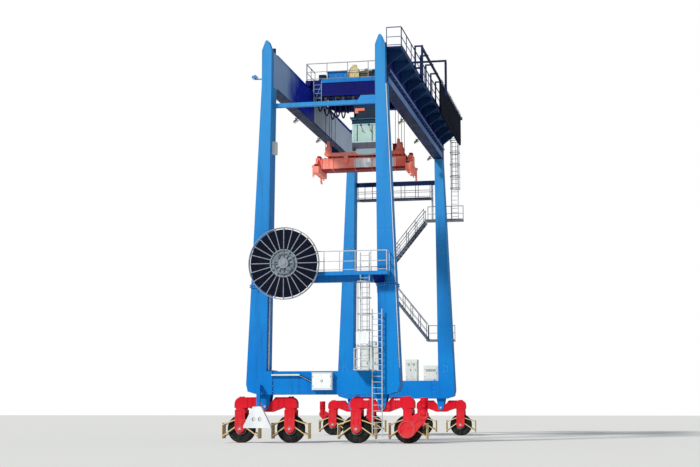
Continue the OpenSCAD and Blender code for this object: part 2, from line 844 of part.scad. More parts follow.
module cable_reel() {
  color(galvanised)
    translate([-reel_x, reel_y, reel_z])
      union() {
        reel_ring(reel_r - 45, reel_r, reel_half + 20);
        reel_ring(reel_hub_r - 60, reel_hub_r, reel_half + 10);
        rotate([90, 0, 0])
          translate([0, 0, -reel_half - 40])
            cylinder(h = 2 * reel_half + 140, r = 280, $fn = round_fn);
        rotate([-90, 0, 0])
          cylinder(h = 450, r = shaft_r, $fn = round_fn);
        for (i = [0 : spokes - 1])
          rotate([0, i * 360 / spokes, 0])
            for (s = [-1, 1])
              block([-22, 22], [s * (reel_half - 10) - 10, s * (reel_half - 10) + 10],
                [reel_hub_r - 30, reel_r - 20]);
        reel_ring(0, reel_hub_r - 30, 8);
        for (i = [0 : spokes / 2 - 1])
          rotate([0, i * 720 / spokes, 0])
            block([-9, 9], [-reel_half - 30, reel_half + 30], [200, reel_hub_r - 40]);
        rotate([90, 0, 0])
          translate([0, 0, reel_half])
            cylinder(h = 130, r1 = 200, r2 = 150, $fn = round_fn);
      }
}

module reel_cable() {
  color(rubber_black)
    translate([-reel_x, reel_y, reel_z])
      reel_ring(reel_hub_r + seat, reel_r - 110, reel_half - 20 - seat);
}

deck_z = rail_z + 2 * trolley_wheel_r + 220;
rope_top_z = deck_z - deck_t - 500;
half_l = trolley_l / 2;

cab_x = 775;
cab_y1 = -1450;
cab_t = 60;
cab_cx = [cab_x - cab_w / 2, cab_x + cab_w / 2];
cab_cy = [cab_y1 - cab_l, cab_y1];
cab_cz = [cab_z, cab_z + cab_h];

cab_window_z = [cab_cz[0] + 430, cab_cz[1] - 440];
cab_roof_z = cab_cz[1] + 30;

under_deck = deck_z - deck_t;
truck_rise = 80;
end_truck_z = rail_z + trolley_wheel_r + truck_rise;
trolley_axle_r = 50;
wheel_base = trolley_l - 900;

// One trolley wheel with a flange on each side of the rail, its axle along X
module trolley_wheel() {
  tread = rail_w / 2 + 8;
  rotate([0, 90, 0])
    rotate_extrude($fn = round_fn)
      polygon([
        [trolley_axle_r + pin_gap, -tread - 25], [trolley_wheel_r + 25, -tread - 25],
        [trolley_wheel_r + 25, -tread - 5],
        [trolley_wheel_r, -tread], [trolley_wheel_r, tread], [trolley_wheel_r + 25, tread + 5],
        [trolley_wheel_r + 25, tread + 25], [trolley_axle_r + pin_gap, tread + 25]
      ]);
}

// Yoke under the end truck: two plates with the wheel's axle between them
module trolley_yoke() {
  drop = truck_rise + 70;
  union() {
    for (x = [-160, 90])
      slab_yz(x, x + 70)
        polygon([
          [-190, truck_rise - seat], [190, truck_rise - seat], [110, truck_rise - drop],
          [-110, truck_rise - drop]
        ]);
    translate([-91, 0, seat])
      rotate([0, 90, 0])
        cylinder(h = 182, r = trolley_axle_r, $fn = round_fn);
  }
}

// Post that carries the cab from the front cross beam
module cab_hanger(x, y) {
  post = 110;
  block([x - post / 2, x + post / 2], [y - post / 2, y + post / 2],
    [cab_roof_z + seat, under_deck - cross_h - seat]);
}

module trolley_frame() {
  color(deep_blue) {
    block([-leg_x - 150, leg_x + 150], [-half_l, half_l], [under_deck, deck_z]);
    for (s = [-1, 1]) {
      // End truck: a box with a slot over each wheel
      difference() {
        block([s * leg_x - 160, s * leg_x + 160], [-half_l, half_l], [end_truck_z, under_deck - seat]);
        for (t = [-1, 1])
          block([s * leg_x - 80, s * leg_x + 80],
            [t * wheel_base / 2 - 320, t * wheel_base / 2 + 320], [end_truck_z - 1, under_deck - 40]);
      }
      for (t = [-1, 1]) {
        translate([s * leg_x, t * wheel_base / 2, rail_z + trolley_wheel_r + seat])
          trolley_wheel();
        translate([s * leg_x, t * wheel_base / 2, rail_z + trolley_wheel_r])
          trolley_yoke();
      }
      // Cross beam with a deeper middle
      slab_xz(s * (half_l - cross_w / 2) - cross_w / 2, s * (half_l - cross_w / 2) + cross_w / 2)
        polygon([
          [60 - leg_in_top, under_deck - seat], [leg_in_top - 60, under_deck - seat],
          [leg_in_top - 60, under_deck - cross_h + 250], [leg_in_top - 600, under_deck - cross_h],
          [600 - leg_in_top, under_deck - cross_h], [60 - leg_in_top, under_deck - cross_h + 250]
        ]);
      block([60 - leg_in_top, leg_in_top - 60], [s * rope_y - 110, s * rope_y + 110],
        [rope_top_z, under_deck - seat]);
      for (t = [-1, 1])
        cab_hanger(cab_x + s * (cab_w / 2 - 200), cross_w / 2 - half_l + t * (cross_w / 2 - 60));
      // Brackets of the cable chains under the front beam
      slab_yz(s * 420 - 1180 - 40, s * 420 - 1180 + 40)
        polygon([
          [40 - half_l, under_deck - cross_h - seat], [340 - half_l, under_deck - cross_h - seat],
          [240 - half_l, under_deck - cross_h - 620], [160 - half_l, under_deck - cross_h - 620]
        ]);
    }
  }
}

drum_z = deck_z + 480;

drum_x = [-900, 1300];
drum_end_t = 60;

module hoist_drum() {
  groove = 70;
  turns = 11;
  half = (drum_x[1] - drum_x[0]) / 2;
  color(galvanised)
    translate([(drum_x[0] + drum_x[1]) / 2, 0, drum_z])
      rotate([0, 90, 0])
        rotate_extrude($fn = round_fn)
          polygon(concat(
            [[0, -half], [drum_r + 70, -half], [drum_r + 70, -half + drum_end_t]],
            [for (i = [0 : turns - 1]) for (k = [0, 1])
              [drum_r - 14 * k, -half + drum_end_t + 10 + groove * (i + k * 0.5)]],
            [[drum_r, -60], [drum_r, 60]],
            [for (i = [0 : turns - 1]) for (k = [0, 1])
              [drum_r - 14 * (1 - k), half - drum_end_t - 10 - groove * (turns - 0.5 - i - k * 0.5)]],
            [[drum_r + 70, half - drum_end_t], [drum_r + 70, half], [0, half]]
          ));
}

motor_r = 260;

// Electric motor along X with its fins, drawn from x0 to x1
module motor(x0, x1, y, z, r, foot_z) {
  fins = 20;
  translate([x0, y, z])
    rotate([0, 90, 0]) {
      cylinder(h = x1 - x0, r = r - 30, $fn = round_fn);
      translate([0, 0, (x1 - x0) * 0.78])
        cylinder(h = (x1 - x0) * 0.2, r = r, $fn = round_fn);
      for (i = [0 : fins - 1])
        rotate([0, 0, i * 360 / fins])
          block([r - 35, r], [-6, 6], [(x1 - x0) * 0.08, (x1 - x0) * 0.72]);
    }
  block([x0 + 80, x1 - 80], [y - r * 0.8, y + r * 0.8], [foot_z, z - r * 0.7]);
  block([lerp(x0, x1, 0.35), lerp(x0, x1, 0.6)], [y - 110, y + 110], [z + r * 0.6, z + r + 90]);
}

module hoist_drives() {
  gear = [-1400, drum_x[0] - seat];
  color(guard_tan) {
    // Hoist gear case beside the drum
    union() {
      slab_yz(gear[0], gear[1])
        polygon([
          [-620, deck_z], [620, deck_z], [620, drum_z - 100], [360, drum_z + 470],
          [-360, drum_z + 470], [-620, drum_z - 100]
        ]);
      for (z = [drum_z - 120, drum_z + 140])
        block([gear[0] - 30, gear[1] - 30], [-640, 640], [z, z + 30]);
    }
    // Bearing block at the other end of the drum
    union() {
      slab_yz(drum_x[1] + seat, drum_x[1] + 260)
        polygon([[-330, deck_z], [330, deck_z], [200, drum_z + 60], [-200, drum_z + 60]]);
      translate([drum_x[1] + seat, 0, drum_z])
        rotate([0, 90, 0])
          cylinder(h = 259, r = 210, $fn = round_fn);
    }
    // Trolley drive case near the front edge
    union() {
      block([-620, 40], [-half_l + 180, -half_l + 800], [deck_z, deck_z + 560]);
      translate([-280, -half_l + 800, deck_z + 560])
        rotate([90, 0, 0])
          cylinder(h = 620, r = 300, $fn = round_fn);
      block([-400, -160], [-half_l + 300, -half_l + 620], [deck_z + 800, deck_z + 960]);
    }
  }
  color(pale_grey) {
    union()
      motor(120, 860, -half_l + 480, deck_z + 330, motor_r, deck_z);
    union()
      motor(gear[0] - 950, gear[0] - seat, 330, drum_z - 60, motor_r + 30, deck_z);
  }
}

module trolley_cabinets() {
  color(steel_blue) {
    // Control cabinet with two doors
    union() {
      difference() {
        block([-1950, -720], [-half_l + 150, -half_l + 850], [deck_z, deck_z + 520]);
        for (x = [-1910, -1325])
          block([x, x + 565], [-half_l + 149, -half_l + 160], [deck_z + 50, deck_z + 470]);
      }
      block([-1980, -690], [-half_l + 120, -half_l + 880], [deck_z + 510, deck_z + 550]);
    }
    union() {
      block([2130, 2800], [-200, 900], [deck_z, 24000]);
      block([2200, 2730], [-215, -199], [deck_z + 120, 23880]);
    }
    // Lit edge beam in front of the deck
    block([-leg_x + 900, leg_x - 150], [-half_l - 40, -half_l], [under_deck - 140, deck_z + 40]);
  }
}

module trolley_railing() {
  y = half_l - tube;
  x = leg_x + 100;
  color(galvanised)
    for (s = [-1, 1]) {
      handrail([-x, s * y, deck_z], [x, s * y, deck_z], 5);
      handrail([s * x, (s - 1) / 2 * (y - 3 * tube), deck_z],
        [s * x, (s + 1) / 2 * (y - 3 * tube), deck_z], 2);
    }
}

arm_y = -400;
arm_rise = 1880;
arm_drop = 2200;
arm_top_z = rail_z + arm_rise;
arm_x = 5250;

module towing_arm() {
  tube_w = 110;
  foot_x = 1760;
  color(deep_blue) {
    block([foot_x - tube_w / 2, foot_x + tube_w / 2], [arm_y - tube_w / 2, arm_y + tube_w / 2],
      [deck_z, arm_top_z]);
    block([foot_x - tube_w / 2, arm_x + 60], [arm_y - tube_w / 2, arm_y + tube_w / 2],
      [arm_top_z + seat, arm_top_z + tube_w]);
    union() {
      for (y = [arm_y - 170, arm_y + 170])
        block([arm_x - 50, arm_x + 50], [y - 35, y + 35], [arm_top_z - arm_drop, arm_top_z]);
      for (z = [arm_top_z - arm_drop + 120 : 340 : arm_top_z - 60])
        block([arm_x - 30, arm_x + 30], [arm_y - 170, arm_y + 170], [z, z + 60]);
      block([arm_x - 50, arm_x + 50], [arm_y - 205, arm_y + 205], [arm_top_z - 60, arm_top_z]);
    }
  }
}

module cab() {
  roof_over = 90;
  color(steel_blue)
    union() {
      difference() {
        union() {
          slab_yz(cab_cx[0], cab_cx[1])
            polygon([
              [cab_cy[0] + 180, cab_cz[0]], [cab_cy[1], cab_cz[0]], [cab_cy[1], cab_cz[1]],
              [cab_cy[0], cab_cz[1]], [cab_cy[0], cab_window_z[0] - 60]
            ]);
          block([cab_cx[0] - roof_over, cab_cx[1] + roof_over], [cab_cy[0] - roof_over, cab_cy[1] + 20],
            [cab_cz[1] - 70, cab_roof_z]);
        }
        block([cab_cx[0] + cab_t, cab_cx[1] - cab_t], [cab_cy[0] + 240, cab_cy[1] - cab_t],
          [cab_cz[0] + cab_t, cab_cz[1] - 80]);
        block([cab_cx[0] + cab_t, cab_cx[1] - cab_t], [cab_cy[0] + cab_t, cab_cy[0] + 241],
          [cab_window_z[0] - 1, cab_cz[1] - 80]);
        block([cab_cx[0] + 110, cab_cx[1] - 110], [cab_cy[0] - 10, cab_cy[1] + 10], cab_window_z);
        block([cab_cx[0] - 10, cab_cx[1] + 10], [cab_cy[0] + 110, cab_cy[1] - 110], cab_window_z);
      }
      // Roof unit
      block([cab_cx[0] + 380, cab_cx[1] - 330], [cab_cy[0] + 80, cab_cy[0] + 560],
        [cab_roof_z - 1, cab_roof_z + 420]);
    }
}

module cab_glass() {
  z = [cab_window_z[0] + seat, cab_window_z[1] - seat];
  color(glass_green) {
    for (y = [cab_cy[0] + 20, cab_cy[1] - 40])
      block([cab_cx[0] + 110 + seat, cab_cx[1] - 110 - seat], [y, y + 20], z);
    for (x = [cab_cx[0] + 20, cab_cx[1] - 40])
      block([x, x + 20], [cab_cy[0] + 110 + seat, cab_cy[1] - 110 - seat], z);
  }
}

end_beam_w = 360;
end_beam_h = 420;
main_z0 = landing_z + 300;
main_z1 = main_z0 + main_h;
main_x = lock_x / 2 - end_beam_w / 2 - 30;
tunnel_w = (main_w - 3 * main_t) / 2;
tunnel_h = main_h - 2 * main_t;
arm_l = 2 * main_x - 200;

bracket_x = 1100;
bracket_y = 580;

module spreader_frame() {
  rib_t = 24;
  rib = 60;
  color(spreader_red)
    union() {
      difference() {
        union() {
          block([-main_x, main_x], [-main_w / 2, main_w / 2], [main_z0, main_z1]);
          // Stiffening hoops round the box
          for (x = [-main_x + rib_t / 2, -main_x * 0.72, -main_x * 0.2, main_x * 0.2, main_x * 0.72, main_x - rib_t / 2])
            block([x - rib_t / 2, x + rib_t / 2], [-main_w / 2 - rib, main_w / 2 + rib],
              [main_z0 - rib, main_z1 + rib]);
        }
        for (s = [-1, 1])
          block([-main_x - 1, main_x + 1],
            [s * (main_t + tunnel_w) / 2 - tunnel_w / 2, s * (main_t + tunnel_w) / 2 + tunnel_w / 2],
            [main_z0 + main_t, main_z1 - main_t]);
      }
      // Seats for the headblock, gusseted to the box
      for (s = [-1, 1])
        for (t = [-1, 1]) {
          block([s * bracket_x - 120, s * bracket_x + 120], [t * bracket_y - 120, t * bracket_y + 120],
            [main_z1 - 300, main_z1 + 120]);
          slab_yz(s * bracket_x - 15, s * bracket_x + 15)
            polygon([
              [t * (main_w / 2 - 5), main_z0 + 60], [t * (main_w / 2 - 5), main_z1 - 290],
              [t * (bracket_y + 110), main_z1 - 290]
            ]);
        }
    }
}

head_z = main_z1 + 120;
sheave_r = 220;
groove_r = sheave_r - 45;
sheave_z = head_z + 430;
rope_x = 2250;
rope_y = 560;

head_t = 200;
cheek_y = 75;

// One sheave of the headblock between its two cheek plates, its pin along Y
module head_sheave(x, y) {
  translate([x, y, sheave_z])
    rotate([90, 0, 0]) {
      rotate_extrude($fn = round_fn)
        polygon([
          [0, -38], [sheave_r, -38], [sheave_r, -30], [groove_r, -rope_r], [groove_r, rope_r],
          [sheave_r, 30], [sheave_r, 38], [0, 38]
        ]);
      translate([0, 0, -cheek_y - 45])
        cylinder(h = 2 * cheek_y + 90, r = 60, $fn = round_fn);
    }
  for (t = [-1, 1])
    slab_xz(y + t * cheek_y - 14, y + t * cheek_y + 14)
      polygon([
        [x - 250, head_z + head_t - 5], [x + 250, head_z + head_t - 5], [x + 90, sheave_z + 110],
        [x - 90, sheave_z + 110]
      ]);
}

module headblock() {
  beam_w = 220;
  color(spreader_red) {
    union() {
      for (t = [-1, 1])
        slab_xz(t * rope_y - beam_w / 2, t * rope_y + beam_w / 2)
          polygon([
            [-rope_x - 260, head_z + 70], [-rope_x - 160, head_z], [rope_x + 160, head_z],
            [rope_x + 260, head_z + 70], [rope_x + 260, head_z + head_t], [-rope_x - 260, head_z + head_t]
          ]);
      for (s = [-1, 1])
        for (x = [bracket_x, rope_x])
          block([s * x - 110, s * x + 110], [-660, 660], [head_z, head_z + head_t]);
      for (s = [-1, 1])
        for (t = [-1, 1])
          head_sheave(s * rope_x, t * rope_y);
      for (s = [-1, 1])
        slab_xz(-40, 40)
          polygon([
            [s * (rope_x - 30), head_z + head_t - 5], [s * (rope_x - 600), head_z + head_t - 5],
            [s * (rope_x - 30), head_z + 560]
          ]);
      for (s = [-1, 1])
        block([s * rope_x - 50, s * rope_x + 50], [-rope_y, rope_y], [head_z + 470, head_z + 570]);
      // Tray that takes the spreader's power cable
      difference() {
        block([-420, 420], [-rope_y + 20, rope_y - 20], [head_z + 40, head_z + 420]);
        block([-380, 380], [-rope_y + 110, rope_y - 110], [head_z + 80, head_z + 421]);
      }
    }
  }
}

// Sliding end of the spreader, drawn for the right side: arm, end beam, twistlocks and guides
module spreader_end(s) {
  arm_y0 = s * (main_t + tunnel_w) / 2;
  arm_h = tunnel_h - 2 * pass_gap;
  arm_w = tunnel_w - 2 * pass_gap;
  end_x = lock_x / 2;
  color(spreader_red)
    mirror([s < 0 ? 1 : 0, 0, 0])
      union() {
        block([main_x - arm_l, end_x], [arm_y0 - arm_w / 2, arm_y0 + arm_w / 2],
          [main_z0 + main_t + seat, main_z0 + main_t + seat + arm_h]);
        block([end_x - end_beam_w / 2, end_x + end_beam_w / 2], [-lock_y / 2 - 90, lock_y / 2 + 90],
          [landing_z, landing_z + end_beam_h]);
        block([end_x - 100, end_x + end_beam_w / 2], [-main_w / 2, main_w / 2],
          [landing_z, main_z1 + 50]);
        // Stiffeners between the end beam and its upright
        for (t = [-1, 1])
          slab_yz(end_x - 15, end_x + 15)
            polygon([
              [t * (main_w / 2 - 5), landing_z + end_beam_h - 5], [t * (lock_y / 2 - 60), landing_z + end_beam_h - 5],
              [t * (main_w / 2 - 5), main_z1 + 40]
            ]);
        for (t = [-1, 1]) {
          // Twistlock: shank, then its pointed head
          translate([end_x, t * lock_y / 2, landing_z - 60])
            cylinder(h = 100, r = 28, $fn = round_fn);
          translate([end_x, t * lock_y / 2, landing_z - 110])
            cylinder(h = 52, r1 = 30, r2 = 50, $fn = round_fn);
          translate([end_x, t * lock_y / 2, landing_z - 5])
            cylinder(h = 12, r = 75, $fn = round_fn);
          // Corner guide with its flared foot
          slab_yz(end_x + end_beam_w / 2 - 60, end_x + end_beam_w / 2 + 40)
            polygon([
              [t * (lock_y / 2 - 110), landing_z + 500], [t * (lock_y / 2 + 70), landing_z + 500],
              [t * (lock_y / 2 + 70), landing_z - 130], [t * (lock_y / 2 + 130), landing_z - 330],
              [t * (lock_y / 2 + 90), landing_z - 330], [t * (lock_y / 2 - 110), landing_z - 130]
            ]);
          translate([end_x + end_beam_w / 2 - 60, t * (lock_y / 2 - 20), landing_z + 420])
            rotate([0, 90, 0])
              cylinder(h = 150, r = 70, $fn = round_fn);
        }
      }
}

rope_off = groove_r + rope_r + seat;

module hoist_ropes() {
  color(rubber_black)
    for (s = [-1, 1])
      for (t = [-1, 1])
        for (k = [-1, 1])
          rod([s * rope_x + k * rope_off, t * rope_y, sheave_z],
            [s * rope_x + k * rope_off, t * rope_y, rope_top_z - seat], rope_r);
}

// Right half of the equalizer outline, from the top of its waist round to the underside
eq_half = concat(
  [[eq_mid_half, eq_mid_top_z], [eq_mid_half + 230, eq_top_z]],
  [for (a = [90 : -15 : 0])
    [kingpin_x + eq_end_r * cos(a), eq_top_z - eq_end_r + eq_end_r * sin(a)]],
  [
    [kingpin_x + eq_end_r, eq_under_z], [kingpin_x - 480, eq_under_z],
    [eq_mid_half, eq_mid_under_z]
  ]
);

// Equalizer beam of one bogie, drawn at the far right corner
module bogie_shape() {
  cover_h = 28;
  difference() {
    union() {
      slab_xz(leg_y - eq_w / 2, leg_y + eq_w / 2)
        translate([leg_x, 0])
          difference() {
            polygon(concat(
              [for (p = eq_half) p],
              [for (i = [len(eq_half) - 1 : -1 : 0]) [-eq_half[i][0], eq_half[i][1]]]
            ));
            translate([0, pivot_z])
              circle(r = pivot_r + pin_gap, $fn = round_fn);
          }
      // Kingpin covers
      for (s = [-1, 1])
        translate([leg_x + s * kingpin_x, leg_y, eq_top_z - 80])
          cylinder(h = 80 + cover_h, r = 150, $fn = round_fn);
    }
    for (s = [-1, 1])
      translate([leg_x + s * kingpin_x, leg_y, eq_under_z - 1])
        cylinder(h = kingpin_h + 2, r = kingpin_r + pin_gap, $fn = round_fn);
  }
}

module bogie(sx, sy) {
  color(bogie_red)
    corner(sx, sy)
      bogie_shape();
}

// Steering fork of one wheel, drawn with its kingpin over the origin
module fork_shape(driven) {
  axle_z = tyre_r;
  top = eq_under_z - seat;
  union() {
    translate([0, 0, top - slew_t])
      cylinder(h = slew_t, r = slew_r, $fn = round_fn);
    translate([0, 0, top - 1])
      cylinder(h = kingpin_h - 10, r = kingpin_r, $fn = round_fn);
    block([-fork_w / 2, fork_w / 2], [-arm_out_y, arm_out_y], [crown_z0, top - slew_t + 1]);
    for (s = [-1, 1])
      slab_xz(s * (fork_in_w + fork_t) / 2 - fork_t / 2, s * (fork_in_w + fork_t) / 2 + fork_t / 2)
        union() {
          translate([-fork_w / 2, axle_z])
            square([fork_w, crown_z0 + 1 - axle_z]);
          translate([0, axle_z])
            circle(r = fork_w / 2, $fn = round_fn);
        }
    translate([0, arm_out_y + 30, axle_z])
      rotate([90, 0, 0])
        cylinder(h = 2 * arm_out_y + 60, r = axle_r, $fn = round_fn);
    for (s = [-1, 1])
      translate([0, s * (arm_out_y + 6) + 11, axle_z])
        rotate([90, 0, 0])
          cylinder(h = 22, r = 150, $fn = round_fn);
    for (s = [-1, 1]) {
      block([s * guard_x - 10, s * guard_x + 10], [-guard_w / 2, guard_w / 2],
        [guard_z, guard_z + guard_h]);
      for (t = [-1, 1]) {
        y = t * (fork_in_w + fork_t) / 2;
        bar([s * (fork_w / 2 - 30), y, 1250], [s * guard_x, y * 0.95, guard_z + guard_h - 60], 50);
        bar([s * (fork_w / 2 - 30), y, 900], [s * guard_x, y * 0.95, guard_z + 120], 50);
      }
    }
    if (driven)
      drive_case(axle_z);
  }
}

case_r0 = 470;
case_r1 = 260;
case_dx = 880;
case_dz = 740;
case_y0 = -arm_out_y - 230;

// Reduction case and motor on the outer face of a driven wheel's fork
module drive_case(axle_z) {
  len = norm([case_dx, case_dz]);
  lean = atan2(case_dz, case_dx);
  // Where the straight sides meet the two rounds
  t = acos((case_r0 - case_r1) / len);
  q0 = case_r0 * 0.98;
  q1 = case_r1 * 0.98;
  slab_xz(case_y0, -arm_out_y + 1)
    translate([0, axle_z])
      union() {
        circle(r = case_r0, $fn = round_fn);
        translate([case_dx, case_dz])
          circle(r = case_r1, $fn = round_fn);
        rotate([0, 0, lean])
          polygon([
            [q0 * cos(t), q0 * sin(t)],
            [len + q1 * cos(t), q1 * sin(t)],
            [len + q1 * cos(t), -q1 * sin(t)],
            [q0 * cos(t), -q0 * sin(t)]
          ]);
      }
  translate([case_dx + 40, (case_y0 - arm_out_y) / 2, axle_z + case_dz])
    cylinder(h = 900, r = 180, $fn = round_fn);
}

// Corner and place of each wheel: [left or right, near or far, outer or inner]
module fork(sx, sy, place, driven) {
  color(bogie_red)
    translate([sx * (leg_x + place * kingpin_x), sy * leg_y, 0])
      rotate([0, 0, sy < 0 ? 0 : 180])
        fork_shape(driven);
}

module wheel_shape() {
  shoulder = 60;
  groove_r = tyre_r - 22;
  grooves = [-110, -37, 37, 110];
  flange = tyre_w / 2 - 45;
  rotate([90, 0, 0]) {
    // Tyre with four grooves round its tread
    rotate_extrude($fn = 96)
      polygon(concat(
        [
          [rim_r + rim_gap, -tyre_w / 2 + 40], [rim_r + 40, -tyre_w / 2 + 12], [tyre_r - 120, -tyre_w / 2],
          [tyre_r - shoulder, -tyre_w / 2 + 10], [tyre_r, -tyre_w / 2 + shoulder]
        ],
        [for (g = grooves) for (p = [[tyre_r, -13], [groove_r, -9], [groove_r, 9], [tyre_r, 13]])
          [p[0], g + p[1]]],
        [
          [tyre_r, tyre_w / 2 - shoulder], [tyre_r - shoulder, tyre_w / 2 - 10],
          [tyre_r - 120, tyre_w / 2], [rim_r + 40, tyre_w / 2 - 12], [rim_r + rim_gap, tyre_w / 2 - 40]
        ]
      ));
    // Rim with its dished disc and hub
    rotate_extrude($fn = 96)
      polygon([
        [axle_r + pin_gap, -hub_half], [hub_r, -hub_half], [hub_r, -110], [rim_r - 105, -110],
        [rim_r - 45, -60], [rim_r - 45, -flange], [rim_r, -flange], [rim_r, flange],
        [rim_r - 45, flange], [rim_r - 45, -20], [rim_r - 120, -70], [hub_r, -70],
        [hub_r, hub_half], [axle_r + pin_gap, hub_half]
      ]);
  }
}

module wheel(sx, sy, place) {
  color(rubber_black)
    translate([sx * (leg_x + place * kingpin_x), sy * leg_y, tyre_r])
      wheel_shape();
}

leg(-1, -1);  // leg_near_left
leg(1, -1);  // leg_near_right
leg(-1, 1);  // leg_far_left
leg(1, 1);  // leg_far_right
girder(-1);  // girder_left
girder(1);  // girder_right
sill(-1);  // sill_near
sill(1);  // sill_far
upper_ties();
near_platform();
near_platform_railing();
far_walkway();
girder_walkway();
festoon_rail();
festoon_cables();
floodlight_arms();
e_house();
power_cabinets();
stair_upper();
stair_lower();
ladders();
cable_guide_hood();
reel_stand();
cable_reel();
reel_cable();
trolley_frame();
hoist_drum();
hoist_drives();
trolley_cabinets();
trolley_railing();
towing_arm();
cab();
cab_glass();
headblock();
spreader_frame();
spreader_end(-1);  // spreader_end_left
spreader_end(1);  // spreader_end_right
hoist_ropes();
bogie(-1, -1);  // bogie_near_left
bogie(1, -1);  // bogie_near_right
bogie(-1, 1);  // bogie_far_left
bogie(1, 1);  // bogie_far_right
fork(-1, -1, 1, false);  // fork_near_left_outer
fork(-1, -1, -1, false);  // fork_near_left_inner
fork(1, -1, -1, false);  // fork_near_right_inner
fork(1, -1, 1, true);  // fork_near_right_outer
fork(-1, 1, 1, true);  // fork_far_left_outer
fork(-1, 1, -1, false);  // fork_far_left_inner
fork(1, 1, -1, false);  // fork_far_right_inner
fork(1, 1, 1, false);  // fork_far_right_outer
wheel(-1, -1, 1);  // wheel_near_left_outer
wheel(-1, -1, -1);  // wheel_near_left_inner
wheel(1, -1, -1);  // wheel_near_right_inner
wheel(1, -1, 1);  // wheel_near_right_outer
wheel(-1, 1, 1);  // wheel_far_left_outer
wheel(-1, 1, -1);  // wheel_far_left_inner
wheel(1, 1, -1);  // wheel_far_right_inner
wheel(1, 1, 1);  // wheel_far_right_outer
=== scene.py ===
"""Rubber tyred gantry crane: materials, surface detail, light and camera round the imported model.
Metres, in the model's own frame: X along the travel direction, Y along the span, Z up."""
import json
from math import atan2, cos, pi, radians, sin

import bmesh
import bpy
from mathutils import Matrix, Vector


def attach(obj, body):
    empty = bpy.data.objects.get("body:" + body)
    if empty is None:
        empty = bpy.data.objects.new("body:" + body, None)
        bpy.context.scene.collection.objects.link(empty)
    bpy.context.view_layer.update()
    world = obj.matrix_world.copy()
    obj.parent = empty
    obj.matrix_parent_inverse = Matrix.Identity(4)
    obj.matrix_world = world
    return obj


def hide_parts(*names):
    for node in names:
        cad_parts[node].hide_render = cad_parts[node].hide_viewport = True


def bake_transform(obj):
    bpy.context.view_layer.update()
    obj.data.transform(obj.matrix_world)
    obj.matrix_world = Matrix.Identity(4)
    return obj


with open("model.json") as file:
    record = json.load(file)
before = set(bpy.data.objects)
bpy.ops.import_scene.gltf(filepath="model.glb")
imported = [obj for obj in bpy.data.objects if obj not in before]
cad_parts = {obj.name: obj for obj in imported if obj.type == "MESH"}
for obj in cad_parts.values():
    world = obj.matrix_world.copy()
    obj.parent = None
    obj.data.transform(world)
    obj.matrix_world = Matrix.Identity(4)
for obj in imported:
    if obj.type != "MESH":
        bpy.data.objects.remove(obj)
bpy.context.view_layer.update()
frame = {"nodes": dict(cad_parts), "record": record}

# Sizes
LEG_X, LEG_Y = 3.175, 11.735
LEG_D = 1.15
LEG_OUT_Y = LEG_Y + LEG_D / 2
LEG_IN_TOP, LEG_OUT_TOP = 2.9, 3.45
LEG_IN_FOOT, LEG_OUT_FOOT = 3.05, 4.17
LEG_FOOT_Z = 3.1
FLANGE_Z = 8.30
SILL_TOP = 3.80
SILL_FACE = -LEG_Y - 0.5
GIRDER_Z = (19.5, 21.5)
PLATFORM_Z = 9.0
PIVOT_Z = 1.93
KINGPIN_X = 1.37
AXLE_Z = 0.745
SIDES = (-1, 1)
NEAR_FAR = (("near", -1), ("far", 1))
LEFT_RIGHT = (("left", -1), ("right", 1))
CORNERS = [(s, t) for s in SIDES for t in SIDES]


def leg_out(z):
    """X of a leg's outer face at a height."""
    return LEG_OUT_FOOT + (LEG_OUT_TOP - LEG_OUT_FOOT) * (z - LEG_FOOT_Z) / (GIRDER_Z[0] - LEG_FOOT_Z)


def leg_in(z):
    """X of a leg's inner face at a height."""
    return LEG_IN_FOOT + (LEG_IN_TOP - LEG_IN_FOOT) * (z - SILL_TOP) / (GIRDER_Z[0] - SILL_TOP)


def about(middle, half):
    """Range that reaches half to either side of its middle."""
    return middle - half, middle + half


def angles(count, shift=0.0):
    """Even angles round a circle, moved on by a share of a step."""
    return [2 * pi * (i + shift) / count for i in range(count)]


def spaced(first, last, count):
    """Even places from first to last."""
    return [first + (last - first) * i / (count - 1) for i in range(count)]


def washer(inner, outer, lo, hi):
    """Profile of a flat ring for revolve."""
    return [(inner, lo), (outer, lo), (outer, hi), (inner, hi)]


def oblong(half_u, half_v):
    """Corners of an oblong about the origin."""
    return ((-half_u, -half_v), (half_u, -half_v), (half_u, half_v), (-half_u, half_v))


